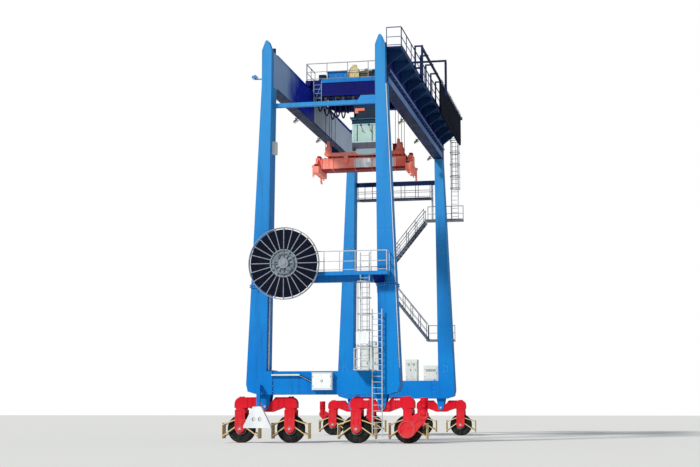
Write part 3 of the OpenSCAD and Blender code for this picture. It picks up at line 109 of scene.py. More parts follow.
# Materials
class Nodes:
    """Short calls for building a material's or the world's node tree in object coordinates."""

    def __init__(self, block):
        self.block = block
        block.use_nodes = True
        self.tree = block.node_tree
        self.place = self.tree.nodes.new("ShaderNodeTexCoord").outputs["Object"]

    def put(self, value, socket):
        """Sets a socket, or links it where the value is another node's output."""
        if isinstance(value, bpy.types.NodeSocket):
            self.tree.links.new(value, socket)
        else:
            socket.default_value = value

    def add(self, kind, **values):
        """New node; in_NAME and in_NUMBER are its inputs, the other values its settings."""
        node = self.tree.nodes.new(kind)
        for key, value in values.items():
            if key.startswith("in_"):
                place = int(key[3:]) if key[3:].isdigit() else key[3:].replace("_", " ")
                self.put(value, node.inputs[place])
            else:
                setattr(node, key, value)
        return node

    def surface(self, **values):
        """Inputs of the material's shader by name, with _ for a space."""
        for key, value in values.items():
            self.put(value, self.tree.nodes["Principled BSDF"].inputs[key.replace("_", " ")])

    def noise(self, scale, detail=4.0, rough=0.55, at=None):
        return self.add("ShaderNodeTexNoise", in_Vector=at or self.place, in_Scale=scale, in_Detail=detail,
                        in_Roughness=rough).outputs["Fac"]

    def ramp(self, value, lo, hi, out_lo=0.0, out_hi=1.0):
        return self.add("ShaderNodeMapRange", in_Value=value, in_1=lo, in_2=hi, in_3=out_lo,
                        in_4=out_hi).outputs["Result"]

    def maths(self, operation, a, b):
        return self.add("ShaderNodeMath", operation=operation, in_0=a, in_1=b).outputs[0]

    def mix(self, share, a, b):
        return self.add("ShaderNodeMix", data_type="RGBA", in_0=share, in_6=a, in_7=b).outputs[2]

    def bump(self, height, strength, distance):
        self.surface(Normal=self.add("ShaderNodeBump", in_Strength=strength, in_Distance=distance,
                                     in_Height=height).outputs[0])

    def along(self, axis):
        return self.add("ShaderNodeSeparateXYZ", in_Vector=self.place).outputs[axis]

    def streaked(self, base, amount):
        """Rain streaks of grime over a colour."""
        tall = self.add("ShaderNodeMapping", in_Vector=self.place, in_Scale=(5.0, 5.0, 0.22)).outputs[0]
        streak = self.noise(1.0, 5.0, 0.65, tall)
        return self.mix(self.ramp(streak, 0.54, 0.74, 0.0, amount), base, GRIME)

    def finish(self, base, uneven, lo, hi, grain, strength):
        """Colour, roughness from lo to hi after an uneven noise, and a bump after a fine one."""
        self.surface(Base_Color=base, Roughness=self.ramp(uneven, 0.3, 0.7, lo, hi))
        self.bump(grain, strength, 0.01)
        return self.block


def srgb(code):
    """A screen colour in hexadecimal, as the linear colour a shader wants."""
    shares = [value / 255.0 for value in bytes.fromhex(code)]
    return (*(c / 12.92 if c <= 0.04045 else ((c + 0.055) / 1.055) ** 2.4 for c in shares), 1.0)


DUST = srgb("968c7a")
GRIME = srgb("1c1e26")
RUST = srgb("603e2e")
# Heights over which dust sets in on paint and on rubber, and over which a paint pales upwards towards a
# painted sky reflection
PAINT_DUST_Z, RUBBER_DUST_Z, SKY_SHEEN_Z = (2.2, 0.1), (1.6, 0.0), (3.0, 19.0)
# Where along the span the left girder's painted reflection starts, and where it is palest
GIRDER_SHEEN_Y = (-6.4, -9.0)


def paint(m, colour, faded, streaks=0.35, dust=0.35, flake=0.0, high=None):
    """Sprayed steel paint: slow fading, rain streaks, road dust low down and a fine orange-peel bump.
    With a sheen colour it pales towards that colour up the crane, a painted sky reflection."""
    m.surface(Specular_IOR_Level=0.1)
    base = m.mix(m.ramp(m.noise(0.45, 3.0), 0.35, 0.7), colour, faded)
    # Painted sky reflection: the paint pales upwards towards the sheen colour.
    if high:
        base = m.mix(m.ramp(m.along(2), *SKY_SHEEN_Z), base, high)
    base = m.streaked(base, streaks)
    low = m.ramp(m.along(2), *PAINT_DUST_Z, 0.0, dust)
    base = m.mix(m.maths("MULTIPLY", low, m.ramp(m.noise(3.5, 6.0), 0.3, 0.65)), base, DUST)
    if flake:
        base = m.mix(m.ramp(m.noise(9.0, 8.0, 0.7), 0.66, 0.70, 0.0, flake), base, RUST)
    return m.finish(base, m.noise(2.2, 5.0), 0.42, 0.64, m.noise(38.0, 2.0), 0.12)


def span_paint(m, colour, faded, bleach):
    """Girder paint with a painted reflection that pales it towards the near end of the span."""
    m.surface(Specular_IOR_Level=0.1)
    # Painted reflection: the paint pales towards the near end of the span, past a line made wavy by noise.
    uneven = m.maths("ADD", m.along(1), m.ramp(m.noise(0.5), 0.3, 0.7, -0.9, 0.9))
    base = m.mix(m.ramp(m.noise(0.6), 0.35, 0.7), colour, faded)
    base = m.streaked(m.mix(m.ramp(uneven, *GIRDER_SHEEN_Y), base, bleach), 0.4)
    return m.finish(base, m.noise(2.2, 5.0), 0.34, 0.56, m.noise(38.0, 2.0), 0.12)


def metal(m, colour, spot, metallic):
    """Galvanised or bare steel: crystal mottling and dull patches."""
    cells = m.add("ShaderNodeTexVoronoi", in_Vector=m.place, in_Scale=14.0).outputs["Distance"]
    base = m.mix(m.ramp(cells, 0.1, 0.7), colour, spot)
    base = m.mix(m.ramp(m.noise(1.1, 5.0), 0.5, 0.8, 0.0, 0.3), base, DUST)
    m.surface(Metallic=metallic)
    return m.finish(base, m.noise(3.0), 0.4, 0.65, m.noise(60.0, 2.0), 0.08)


def rubber(m, colour, dusty, dust=0.55):
    """Tyre or cable rubber: matte, scuffed, with dust caught low down."""
    m.surface(Specular_IOR_Level=0.1)
    base = m.mix(m.ramp(m.noise(6.0, 6.0), 0.35, 0.75), colour, dusty)
    low = m.ramp(m.along(2), *RUBBER_DUST_Z, 0.0, dust)
    base = m.mix(m.maths("MULTIPLY", low, m.ramp(m.noise(5.0, 5.0), 0.35, 0.65)), base, DUST)
    return m.finish(base, m.noise(8.0), 0.62, 0.86, m.noise(45.0, 4.0), 0.25)


def grating(m, colour, gap):
    """Walkway grating: dark holes between bearing bars 120 mm apart."""
    waves = [m.ramp(m.maths("PINGPONG", m.along(axis), 0.06), 0.012, 0.0192) for axis in (0, 1)]
    hole = m.maths("MULTIPLY", *waves)
    m.surface(Base_Color=m.mix(hole, colour, gap), Metallic=0.3, Roughness=0.6)
    m.bump(hole, 0.4, 0.02)
    return m.block


def glass(m, colour, tint):
    """Tinted window glass that lets some of the inside through."""
    base = m.mix(m.ramp(m.noise(1.3), 0.3, 0.7), colour, tint)
    m.surface(Base_Color=base, Roughness=0.06, Transmission_Weight=0.22, IOR=1.45)
    return m.block


MAT = {}


def look(kind, name, colour, worn, slot=None, **options):
    """Makes a material of one kind; slot, the record's slot for what it covers, is not used."""
    MAT[name] = kind(Nodes(bpy.data.materials.new(name)), srgb(colour), srgb(worn), **options)


# The legs' blue pales upwards towards its last colour as a painted sky reflection.
look(paint, "steel_blue", "0070c4", "067ecc", high=srgb("348aca"))
look(paint, "sky_blue", "1470be", "227ec8", "steel_blue", streaks=0.3)
# The next four blues are the steel blue paint darkened as painted shade, by differing amounts.
look(paint, "deep_blue", "022496", "0632a4", streaks=0.45)
look(paint, "night_blue", "041840", "0c2854", "deep_blue", streaks=0.5)
look(paint, "shaded_navy", "01085c", "03106a", "deep_blue", streaks=0.4)
look(paint, "shaded_walk_blue", "163462", "224676", "deep_blue", streaks=0.5)
look(paint, "end_blue", "6084b6", "7898c4", "deep_blue", streaks=0.3)
look(paint, "teal_dark", "0e2c42", "1a3c52", "deep_blue", streaks=0.3)
# Left girder: the blue darkened as painted shade, paling towards the near end of the span as a painted
# reflection.
look(span_paint, "girder_left", "01149c", "0422a8", "deep_blue", bleach=srgb("8ca8ca"))
look(paint, "pale_grey", "d6dcd8", "c6cecc", streaks=0.25)
look(paint, "white", "e8ecf0", "d8dee4", "pale_grey", streaks=0.3, dust=0.25)
look(paint, "lamp", "f0f0e4", "e4e6dc", "pale_grey", streaks=0.1)
look(paint, "cab_pale", "bedae0", "accad4", "pale_grey", streaks=0.25)
look(paint, "cab_grey", "6c6a77", "5c5c6a", "pale_grey", streaks=0.3)
look(paint, "band_grey", "c4d2e0", "b0c2d4", "pale_grey", streaks=0.4)
look(paint, "drive_tan", "dece9c", "cebc8a", streaks=0.3)
look(paint, "guard_tan", "deca96", "cab27a", "drive_tan", dust=0.3, flake=0.4)
look(paint, "motor_dark", "3a4240", "4a504c", "drive_tan", streaks=0.4)
look(paint, "spreader_red", "f2705c", "fa9e8e", flake=0.3)
look(paint, "dark_red", "78181e", "8c2428", "spreader_red")
look(paint, "bogie_red", "ca0820", "d61a2e", dust=0.25, flake=0.25)
look(paint, "rim_grey", "787c82", "60646c", "galvanised", dust=0.5, flake=0.3)
look(paint, "hub_grey", "768890", "5c707a", "galvanised", streaks=0.3)
look(metal, "galvanised", "c4cad0", "a8b0b8", metallic=0.35)
look(metal, "access_grey", "687282", "4e5a6c", "galvanised", metallic=0.35)
look(metal, "reel_grey", "969ea8", "767e8a", "galvanised", metallic=0.35)
look(metal, "dark_steel", "343a46", "242834", "cable_black", metallic=0.5)
look(metal, "rope_grey", "5c6068", "3c4048", "cable_black", metallic=0.4)
look(rubber, "cable_black", "080c1e", "12182e", dust=0.08)
look(rubber, "tyre_black", "0a0e14", "181c23", dust=0.10)
look(rubber, "seal_black", "0e0f12", "1c1e22", "cable_black")
look(grating, "grating", "78808a", "0e121a", "galvanised")
look(glass, "cab_glass", "cee8e0", "b2d6ce")


# Mesh helpers
def placed(name, data):
    """New object in the scene."""
    thing = bpy.data.objects.new(name, data)
    bpy.context.scene.collection.objects.link(thing)
    return thing


class Part:
    """Gathers simple solids and turns them into one piece that rides on a body."""
    usual_body = "portal"

    def __init__(self, body=None):
        self.body = Part.usual_body if body is None else body
        self.bm = bmesh.new()

    def tube(self, loops):
        """Closed solid along a row of matching loops of points."""
        rings = [[self.bm.verts.new(p) for p in loop] for loop in loops]
        for a, b in zip(rings, rings[1:]):
            for i in range(len(a)):
                k = (i + 1) % len(a)
                self.bm.faces.new((a[i], a[k], b[k], b[i]))
        self.bm.faces.new(rings[0][::-1])
        self.bm.faces.new(rings[-1])
        return self

    def box(self, x, y, z):
        """Box over three ranges, each given in either order."""
        (x0, x1), (y0, y1), z = sorted(x), sorted(y), sorted(z)
        return self.tube([[(x0, y0, w), (x1, y0, w), (x1, y1, w), (x0, y1, w)] for w in z])

    def prism(self, outline, axis, *ends):
        """Outline in the plane across axis 'x', 'y' or 'z', thickened between two ends."""
        def at(p, t):
            return {"x": (t, p[0], p[1]), "y": (p[0], t, p[1]), "z": (p[0], p[1], t)}[axis]
        return self.tube([[at(p, t) for p in outline] for t in sorted(ends)])

    def rod(self, a, b, r, n=8, r2=None):
        """Round bar, or a cone with r2, from a to b."""
        a, b = Vector(a), Vector(b)
        turn = (b - a).to_track_quat("Z", "Y")
        def ring(centre, radius):
            return [centre + turn @ Vector((radius * cos(t), radius * sin(t), 0)) for t in angles(n)]
        return self.tube([ring(a, r), ring(b, r if r2 is None else r2)])

    def pin(self, x, y, z, r, n=8):
        """Round bar along the axis on which it is given a range."""
        ends = [[c[k] if isinstance(c, tuple) else c for c in (x, y, z)] for k in (0, 1)]
        return self.rod(*ends, r, n)

    def bar(self, a, b, w, h=None):
        """Square bar from a to b, or one with sides w and h."""
        a, b = Vector(a), Vector(b)
        turn = (b - a).to_track_quat("Z", "Y")
        corners = [Vector((u, v, 0)) for u, v in oblong(w / 2, (h or w) / 2)]
        return self.tube([[end + turn @ c for c in corners] for end in (a, b)])

    def path(self, points, r, n=8):
        """Round tube through a row of points."""
        points = [Vector(p) for p in points]
        loops = []
        normal = None
        for i, p in enumerate(points):
            along = (points[min(i + 1, len(points) - 1)] - points[max(i - 1, 0)]).normalized()
            if normal is None:
                normal = along.orthogonal().normalized()
            normal = (normal - along * normal.dot(along)).normalized()
            other = along.cross(normal)
            loops.append([p + (normal * cos(t) + other * sin(t)) * r for t in angles(n)])
        return self.tube(loops)

    def revolve(self, profile, centre, axis, n=48):
        """Closed profile of (radius, height) points turned about an axis through centre."""
        centre = Vector(centre)
        turn = Vector(axis).to_track_quat("Z", "Y")
        rings = [[self.bm.verts.new(centre + turn @ Vector((r * cos(t), r * sin(t), h))) for r, h in profile]
                 for t in angles(n)]
        for a, b in zip(rings, rings[1:] + rings[:1]):
            for i in range(len(a)):
                k = (i + 1) % len(a)
                self.bm.faces.new((a[i], b[i], b[k], a[k]))
        return self

    def bolts(self, centre, axis, circle, count, r, h, start=0.0):
        """Hexagon heads on a circle."""
        centre = Vector(centre)
        turn = Vector(axis).to_track_quat("Z", "Y")
        up = Vector(axis).normalized() * h
        for t in angles(count):
            p = centre + turn @ Vector((circle * cos(start + t), circle * sin(start + t), 0))
            self.rod(p, p + up, r, 6)
        return self

    def done(self, name, mat, bevel=0.0, smooth=False):
        """Makes the piece, with its material and the body that carries it."""
        bmesh.ops.recalc_face_normals(self.bm, faces=self.bm.faces)
        mesh = bpy.data.meshes.new(name)
        self.bm.to_mesh(mesh)
        self.bm.free()
        if smooth:
            for face in mesh.polygons:
                face.use_smooth = True
        mesh.materials.append(MAT[mat])
        piece = placed(name, mesh)
        if bevel:
            mod = piece.modifiers.new("Edges", "BEVEL")
            mod.width = bevel
            mod.segments = 2
            mod.limit_method = "ANGLE"
        if self.body:
            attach(piece, self.body)
        return piece


def parts(count, body=None):
    """New empty parts for one body."""
    return [Part(body) for _ in range(count)]


def boxes(name, mat, bevel, *ranges, body=None):
    """Piece made of plain boxes, each given by its ranges in X, Y and Z."""
    part = Part(body)
    for x, y, z in ranges:
        part.box(x, y, z)
    part.done(name, mat, bevel)


# CAD nodes
# The deep blues given to the girders, their walkway, the trolley frame, the festoon rail and the towing arm
# are the steel blue paint darkened as painted shade.
LOOK = {
    "girder_left": "girder_left", "girder_right": "shaded_navy", "girder_walkway": "shaded_walk_blue",
    "festoon_rail": "night_blue", "floodlight_arms": "steel_blue", "cable_guide_hood": "white",
    "trolley_frame": "shaded_navy", "towing_arm": "night_blue", "hoist_ropes": "dark_steel",
    "hoist_drum": "dark_steel", "cab": "cab_pale", "trolley_cabinets": "sky_blue",
    "stair_upper": "access_grey", "stair_lower": "access_grey", "far_walkway": "access_grey",
    "trolley_railing": "reel_grey", "cable_reel": "reel_grey",
}
for entry in frame["record"]["subparts"]:
    mesh = frame["nodes"][entry["node"]].data
    mesh.materials.clear()
    mesh.materials.append(MAT[LOOK.get(entry["node"], entry["material_slot"])])

# Running gear
FORK_OUT = 0.395
FORK_DISC_Z = 1.7905
MOTOR_DX, MOTOR_DZ = 0.88, 0.74
DRIVEN = ("near_right_outer", "far_left_outer")
LUG = ((0.686, 0.199), (0.69, 0.208), (0.7405, 0.1665), (0.736, 0.158))
BEAD = ((0.552, 0.208), (0.556, 0.2165), (0.568, 0.2165), (0.574, 0.208))


def tyre_lugs(part, x, y):
    """Shoulder blocks and a bead round each side of a tyre."""
    for s in SIDES:
        for a in angles(40, 0.5 if s > 0 else 0):
            part.tube([[(x + r * cos(turn), y + s * v, AXLE_Z + r * sin(turn)) for r, v in LUG]
                       for turn in (a - 0.045 / 0.7, a + 0.045 / 0.7)])
        part.revolve([(r, s * v) for r, v in BEAD], (x, y, AXLE_Z), (0, 1, 0), 48)


def wheel(name, x, y):
    """Rim, wheel nuts and tyre lugs."""
    rim, nuts, lugs = parts(3, f"wheel_{name}_body")
    for s, well, neck, face, disc, step, foot_y, circle in (
            (-1, 0.018, 0.198, 0.0665, 0.0715, 0.1985, 0.0205, 0.186),
            (1, 0.062, 0.214, 0.1135, 0.109, 0.2115, 0.057, 0.193)):
        rim.revolve([(0.318, s * 0.171), (0.318, s * 0.177), (0.27, s * 0.174), (0.27, well), (neck, face),
                     (0.1735, face), (0.1735, s * 0.238), (0.083, s * 0.238), (0.083, s * 0.234),
                     (0.169, s * 0.234), (0.169, disc), (step, disc), (0.2745, foot_y), (0.2745, s * 0.171)],
                    (x, y, AXLE_Z), (0, 1, 0), 56)
        nuts.bolts((x, y + face, AXLE_Z), (0, s, 0), circle, 12, 0.01, 0.018)
    rim.done(f"rim_{name}", "rim_grey")
    nuts.done(f"wheel_nuts_{name}", "galvanised")
    tyre_lugs(lugs, x, y)
    lugs.done(f"tyre_lugs_{name}", "tyre_black")


def fork_trim(name, x, y, t):
    """Guard frame before and behind the tyre, bolts, and plates with ribs on the fork's sides.
    A chain case takes the plate's place on the side that t points away from."""
    guard, trim, ribs = parts(3, f"fork_{name}_body")
    for s in SIDES:
        guard.box((x + s * 0.986, x + s * 1.014), about(y, 0.345), (0.226, 1.034))
        for v in SIDES:
            for root_z, end_z in ((1.2385, 0.97), (0.8775, 0.35)):
                guard.bar((x + s * 0.228, y + v * 0.335, root_z),
                          (x + s * 0.99, y + v * 0.318585, end_z), 0.056)
        for z in (0.36, 0.84):
            guard.box((x + s * 1.013, x + s * 1.032), about(y, 0.31), (z, z + 0.06))
        for v in (-0.26, 0.26):
            for z in (0.42, 0.66, 0.8):
                trim.pin((x + s * 1.012, x + s * 1.028), y + v, z, 0.016, 6)
        guard.box((x + s * 0.97, x + s * 1.03), about(y, 0.35), (1.03, 1.062))
    for v in SIDES:
        trim.bolts((x, y + v * (FORK_OUT + 0.017), AXLE_Z), (0, v, 0), 0.118, 8, 0.015, 0.016, pi / 8)
        trim.pin(x, (y + v * 0.424, y + v * 0.437), AXLE_Z, 0.062, 20)
        if name not in DRIVEN or v * t > 0:
            ribs.prism([(x - 0.285, 1.76), (x - 0.285, 0.74), (x - 0.17, 0.585), (x + 0.17, 0.585),
                        (x + 0.285, 0.74), (x + 0.285, 1.76)], "y", y + v * 0.393, y + v * 0.409)
            for u in (-0.13, 0.13):
                ribs.box(about(x + u, 0.01), (y + v * 0.39, y + v * 0.42), (0.99, 1.72))
            ribs.box(about(x, 0.225), (y + v * 0.39, y + v * 0.425), (1.7, 1.725))
    trim.bolts((x, y, FORK_DISC_Z), (0, 0, -1), 0.305, 20, 0.014, 0.022)
    guard.done(f"guard_{name}", "guard_tan", 0.004)
    trim.done(f"fork_bolts_{name}", "galvanised")
    ribs.done(f"fork_ribs_{name}", "bogie_red", 0.003)


def wheel_drive(name, x, y, t):
    """Rings, rib and bolts of a chain case, and the upright motor on it; t is the way the case leans."""
    case, ring, motor = parts(3, f"fork_{name}_body")
    lean = atan2(MOTOR_DZ, MOTOR_DX)
    face = y - t * 0.625
    for dx, dz, r, out, n, circle, count, bolt in ((0, 0, 0.36, 0.455, 48, 0.41, 18, 0.015),
                                                   (MOTOR_DX, MOTOR_DZ, 0.14, 0.245, 40, 0.195, 12, 0.013)):
        cx, cz = x + t * dx, AXLE_Z + dz
        case.revolve(washer(r, out, 0, 0.022), (cx, face, cz), (0, -t, 0), n)
        ring.bolts((cx, face - t * 0.022, cz), (0, -t, 0), circle, count, bolt, bolt + 0.001)
    case.bar(*((x + t * u * cos(lean), face - t * 0.012, AXLE_Z + u * sin(lean)) for u in (0.3, 0.74)),
             0.022, 0.09)
    case.done(f"drive_case_ribs_{name}", "bogie_red", 0.003)
    ring.done(f"drive_case_bolts_{name}", "galvanised")
    mx, my, mz = x + t * 0.92, y - t * 0.51, AXLE_Z + MOTOR_DZ
    motor.pin(mx, my, (mz + 0.24, mz + 0.72), 0.184, 40)
    for a in angles(24):
        fin = (mx + 0.19 * cos(a), my + 0.19 * sin(a))
        motor.bar((*fin, mz + 0.3), (*fin, mz + 0.68), 0.012, 0.026)
    motor.revolve([(0, 0.72), (0.205, 0.72), (0.205, 0.84), (0.17, 0.895), (0, 0.903)], (mx, my, mz),
                  (0, 0, 1), 40)
    motor.box(about(mx, 0.08), (my - t * 0.17, my - t * 0.27), (mz + 0.4, mz + 0.56))
    motor.done(f"drive_motor_{name}", "bogie_red")


def bogie_trim(place, cx, cy):
    """Bolts on the kingpins' caps and on the pivot pin, and the ribs of an equalizer beam."""
    bolts, steel = parts(2, f"bogie_{place}_beam")
    cap = Part()
    for s in SIDES:
        bolts.bolts((cx + s * KINGPIN_X, cy, 2.458), (0, 0, 1), 0.118, 8, 0.014, 0.014)
        for u in (0.72, 1.02):
            for v in SIDES:
                steel.box(about(cx + s * u, 0.008), (cy + v * 0.255, cy + v * 0.28), (1.868, 2.415))
        for v in SIDES:
            steel.box((cx + s * 0.62, cx + s * 1.1), (cy + v * 0.255, cy + v * 0.276), (1.862, 1.884))
        end = cy + s * 0.36
        cap.bolts((cx, cy + s * 0.325, PIVOT_Z), (0, s, 0), 0.145, 6, 0.013, 0.014)
        cap.pin(cx, (end, end + s * 0.012), PIVOT_Z, 0.07, 20)
    bolts.done(f"kingpin_bolts_{place}", "galvanised")
    steel.done(f"bogie_ribs_{place}", "bogie_red", 0.003)
    cap.done(f"pivot_bolts_{place}", "galvanised")


for near, sy in NEAR_FAR:
    for lr, sx in LEFT_RIGHT:
        bogie_trim(f"{near}_{lr}", sx * LEG_X, sy * LEG_Y)
        for place, shift in (("outer", KINGPIN_X), ("inner", -KINGPIN_X)):
            name, x, y = f"{near}_{lr}_{place}", sx * (LEG_X + shift), sy * LEG_Y
            wheel(name, x, y)
            fork_trim(name, x, y, -sy)
            if name in DRIVEN:
                wheel_drive(name, x, y, -sy)
boxes("bogie_reflectors", "white", 0,
      *((about(x, 0.15), (-LEG_Y - 0.268, -LEG_Y - 0.255), (2.26, 2.33)) for x in (2.34, 3.98)),
      body="bogie_near_right_beam")
boxes("fork_reflector", "white", 0,
      (about(-(LEG_X + KINGPIN_X), 0.228), (-LEG_Y - 0.399, -LEG_Y - 0.39), (1.12, 1.2)),
      body="fork_near_left_outer_body")


# Legs and sills
def leg_ring(part, sx, sy, z, h, proud):
    """Thin band round a leg between z and z + h."""
    def loop(level):
        lo, hi = leg_in(level) - proud, leg_out(level) + proud
        y0, y1 = LEG_Y - LEG_D / 2 - proud, LEG_Y + LEG_D / 2 + proud
        return [(sx * u, sy * v, level) for u, v in ((lo, y0), (hi, y0), (hi, y1), (lo, y1))]
    part.tube([loop(z), loop(z + h)])


SEAM_Z = (5.9, 11.4, 14.1, 17)
HATCH_Z = (4.6, 13)
seams, hatches, bolts = parts(3)
for sx, sy in CORNERS:
    for z in SEAM_Z:
        leg_ring(seams, sx, sy, z, 0.014, 0.004)
    for z in HATCH_Z:
        mid = sx * (leg_in(z) + leg_out(z)) / 2
        y = sy * (LEG_Y - LEG_D / 2)
        oval = [(mid + 0.21 * cos(a), z + 0.3 * sin(a)) for a in angles(28)]
        hatches.prism(oval, "y", y + sy * 0.002, y - sy * 0.014)
        for a in angles(12, 0.5):
            p = (mid + 0.17 * cos(a), y - sy * 0.012, z + 0.255 * sin(a))
            bolts.rod(p, (p[0], p[1] - sy * 0.014, p[2]), 0.014, 6)
seams.done("leg_seams", "steel_blue")
hatches.done("leg_hatches", "steel_blue", 0.003)


def flange_bolt(part, x, y):
    """Shank, nut and head of a bolt through the flanges of a near leg."""
    for lo, hi, r in ((-0.022, 0.182, 0.012), (0.159, 0.182, 0.021), (-0.022, 0.001, 0.021)):
        part.pin(x, y, (FLANGE_Z + lo, FLANGE_Z + hi), r, 6)


inner, outer = leg_in(FLANGE_Z), leg_out(FLANGE_Z)
for sx in SIDES:
    for y in about(-LEG_Y, LEG_D / 2 + 0.038):
        for x in spaced(inner + 0.02, outer - 0.02, 8):
            flange_bolt(bolts, sx * x, y)
    for x in (inner - 0.036, outer + 0.036):
        for y in spaced(-LEG_Y - 0.5, -LEG_Y + 0.5, 8):
            flange_bolt(bolts, sx * x, y)
bolts.done("leg_bolts", "galvanised")

joints, bolts = parts(2)
for sy, sx in CORNERS:
    x = sx * 2.75
    joints.box(about(x, 0.03), about(sy * LEG_Y, 0.565), (2.575, 3.86))
    for u in SIDES:
        for z in (2.72, 3.02, 3.32, 3.62):
            for v in SIDES:
                y = sy * LEG_Y + v * 0.536
                bolts.pin((x + u * 0.028, x + u * 0.052), y, z, 0.018, 6)
joints.done("sill_flanges", "steel_blue", 0.004)
bolts.done("sill_bolts", "galvanised")

runs, clamps = parts(2)
y = -LEG_OUT_Y + 0.06
runs.path([(leg_out(z) + 0.032, y, z) for z in (3.95, 6, 8.2, 8.7, 12, 16, 19.3)], 0.026, 10)
for i in range(13):
    z = 4.4 + 1.2 * i
    clamps.box((leg_out(z), leg_out(z) + 0.064), about(y, 0.04), (z, z + 0.04))
runs.done("leg_conduit", "white", smooth=True)
clamps.done("conduit_clamps", "galvanised")

# Blue post and arm that carry the cable guide hood
boxes("hood_post", "steel_blue", 0.004,
      ((-3.468, -3.272), (-12.764, -12.598), (1.935, 3.068)),
      ((-3.466, -3.274), (-12.61, -12.306), (2.892, 3.066)))

# Girders
boxes("girder_band", "band_grey", 0,
      ((-LEG_IN_TOP, -LEG_IN_TOP + 0.006), (-1.8, 11), (19.66, 21.34)))
# Painted shade: dark sheets under both girders and at the foot of their inner faces.
boxes("girder_underside_shade", "night_blue", 0,
      *(((sx * x0, sx * x1), (-11.1, 11.1), (19.494, top)) for sx in SIDES
        for x0, x1, top in ((2.852, 3.498, 19.502), (2.846, 2.852, 19.542))))
# Painted shade: dark plates over the corbels under the near platform.
shade = Part()
for s in SIDES:
    x = s * (LEG_X + 0.12)
    shade.prism([(-12.318, 8.42), (-12.318, 8.8), (-13.19, 8.8)], "x", x - 0.42, x + 0.1)
shade.done("corbel_shade_plates", "shaded_navy")
# Painted shade: dark sheets on the near face and the underside of the far tie beam.
boxes("far_tie_shade", "night_blue", 0,
      ((-2.84, 2.84), (LEG_Y - 0.138, LEG_Y - 0.126), (17.768, 18.035)),
      ((-2.84, 2.84), (LEG_Y - 0.138, LEG_Y + 0.126), (17.752, 17.77)))
# Painted shade: dark sheets on the front edge and the underside of the far walkway.
boxes("far_walkway_shade", "night_blue", 0,
      ((-2.8, 2.44), (LEG_OUT_Y - 0.01, LEG_OUT_Y + 0.004), (16.89, 16.966)),
      ((-2.8, 2.44), (LEG_OUT_Y - 0.01, LEG_OUT_Y + 0.94), (16.886, 16.902)))
boxes("rail_clips", "dark_steel", 0,
      *((about(sx * LEG_X + s * 0.062, 0.022), about(y, 0.03), (GIRDER_Z[1], 21.535))
        for sx in SIDES for y in spaced(-11.2, 11.2, 44) for s in SIDES))
buffers, stops = parts(2)
for sx in SIDES:
    for y, s in ((-10.66, -1), (11.36, 1)):
        stops.box(about(sx * LEG_X, 0.13), (y + s * 0.12, y + s * 0.26), (GIRDER_Z[1], 21.96))
        buffers.pin(sx * LEG_X, (y + s * 0.12, y + s * 0.01), 21.84, 0.075, 20)
stops.done("end_stops", "night_blue", 0.006)
buffers.done("end_buffers", "seal_black", 0.01)

boxes("girder_tray", "end_blue", 0,
      ((3.59, 3.606), (-11.48, 11.48), (20.172, 20.298)),
      *(((3.452, 3.6), about(y, 0.02), (20.15, 20.178)) for y in spaced(-11.3, 11.3, 24)),
      ((3.452, 3.462), (-11.2, 11.3), (19.6, 19.96)))
cables = Part()
for k, x in enumerate((3.485, 3.52, 3.555)):
    cables.path([(x + 0.006 * sin(y * 0.9 + k), y, 20.214 + 0.02 * sin(y * 1.3 + 2 * k))
                 for y in spaced(-11.4, 11.4, 41)], 0.017, 6)
cables.done("girder_tray_cables", "cable_black", smooth=True)
boxes("girder_walkway_grating", "grating", 0, ((3.47, 4.33), (-12, 12.28), (21.4, 21.406)))
boxes("near_platform_grating", "grating", 0,
      *((x, (-13.18, -12.34), (PLATFORM_Z, PLATFORM_Z + 0.006)) for x in ((-3.55, 1.88), (2.82, 3.55))))


def tilted(part, origin, turn, *loops):
    """Solid between two oblongs, each of half sizes and height, in a turned frame at origin."""
    part.tube([[Vector(origin) + turn @ Vector((u, v, w)) for u, v in oblong(a, b)] for a, b, w in loops])


def floodlight(part, lens, x, y, z, yaw, tilt=0.5, size=0.34):
    """Flat floodlight with its lens, its yoke's pin at x, y, z, thrown towards yaw."""
    turn = Matrix.Rotation(yaw, 4, "Z") @ Matrix.Rotation(tilt, 4, "Y")
    h = size / 2
    back, pane = h * 0.7, h * 0.88
    tilted(part, (x, y, z), turn, (h, h, -0.05), (back, back, 0.06))
    tilted(lens, (x, y, z), turn, (pane, pane, -0.058), (pane, pane, -0.049))
    up = Vector((0, 0, 0.16))
    def yoke(v):
        return Vector((x, y, z)) + turn @ Vector((0, v, 0))
    for s in SIDES:
        part.bar(yoke(s * (h + 0.01)), yoke(s * (h + 0.01)) + up, 0.024)
    part.bar(yoke(-h - 0.02) + up, yoke(h + 0.02) + up, 0.03)


lamps, lenses = parts(2)
for y in (-9.2, -3.7, 2.5, 8.6):
    floodlight(lamps, lenses, -3.62, y, 19.36, pi)
    lamps.bar((-3.62, y, 19.5), (-3.44, y, 19.53), 0.05)
    floodlight(lamps, lenses, 2.7, y + 1.4, 19.33, pi)
    lamps.bar((2.7, y + 1.4, 19.47), (2.92, y + 1.4, 19.51), 0.05)
lamps.done("girder_lamps", "dark_steel", 0.004)
lenses.done("girder_lamp_lenses", "lamp")
lens = Part()
for sy in SIDES:
    tilted(lens, (-3.98, sy * LEG_Y, 20.07), Matrix.Rotation(radians(-20), 4, "Y"),
           (0.13, 0.17, 0.008), (0.13, 0.17, 0.021))
lens.done("leg_lamp_lenses", "lamp")

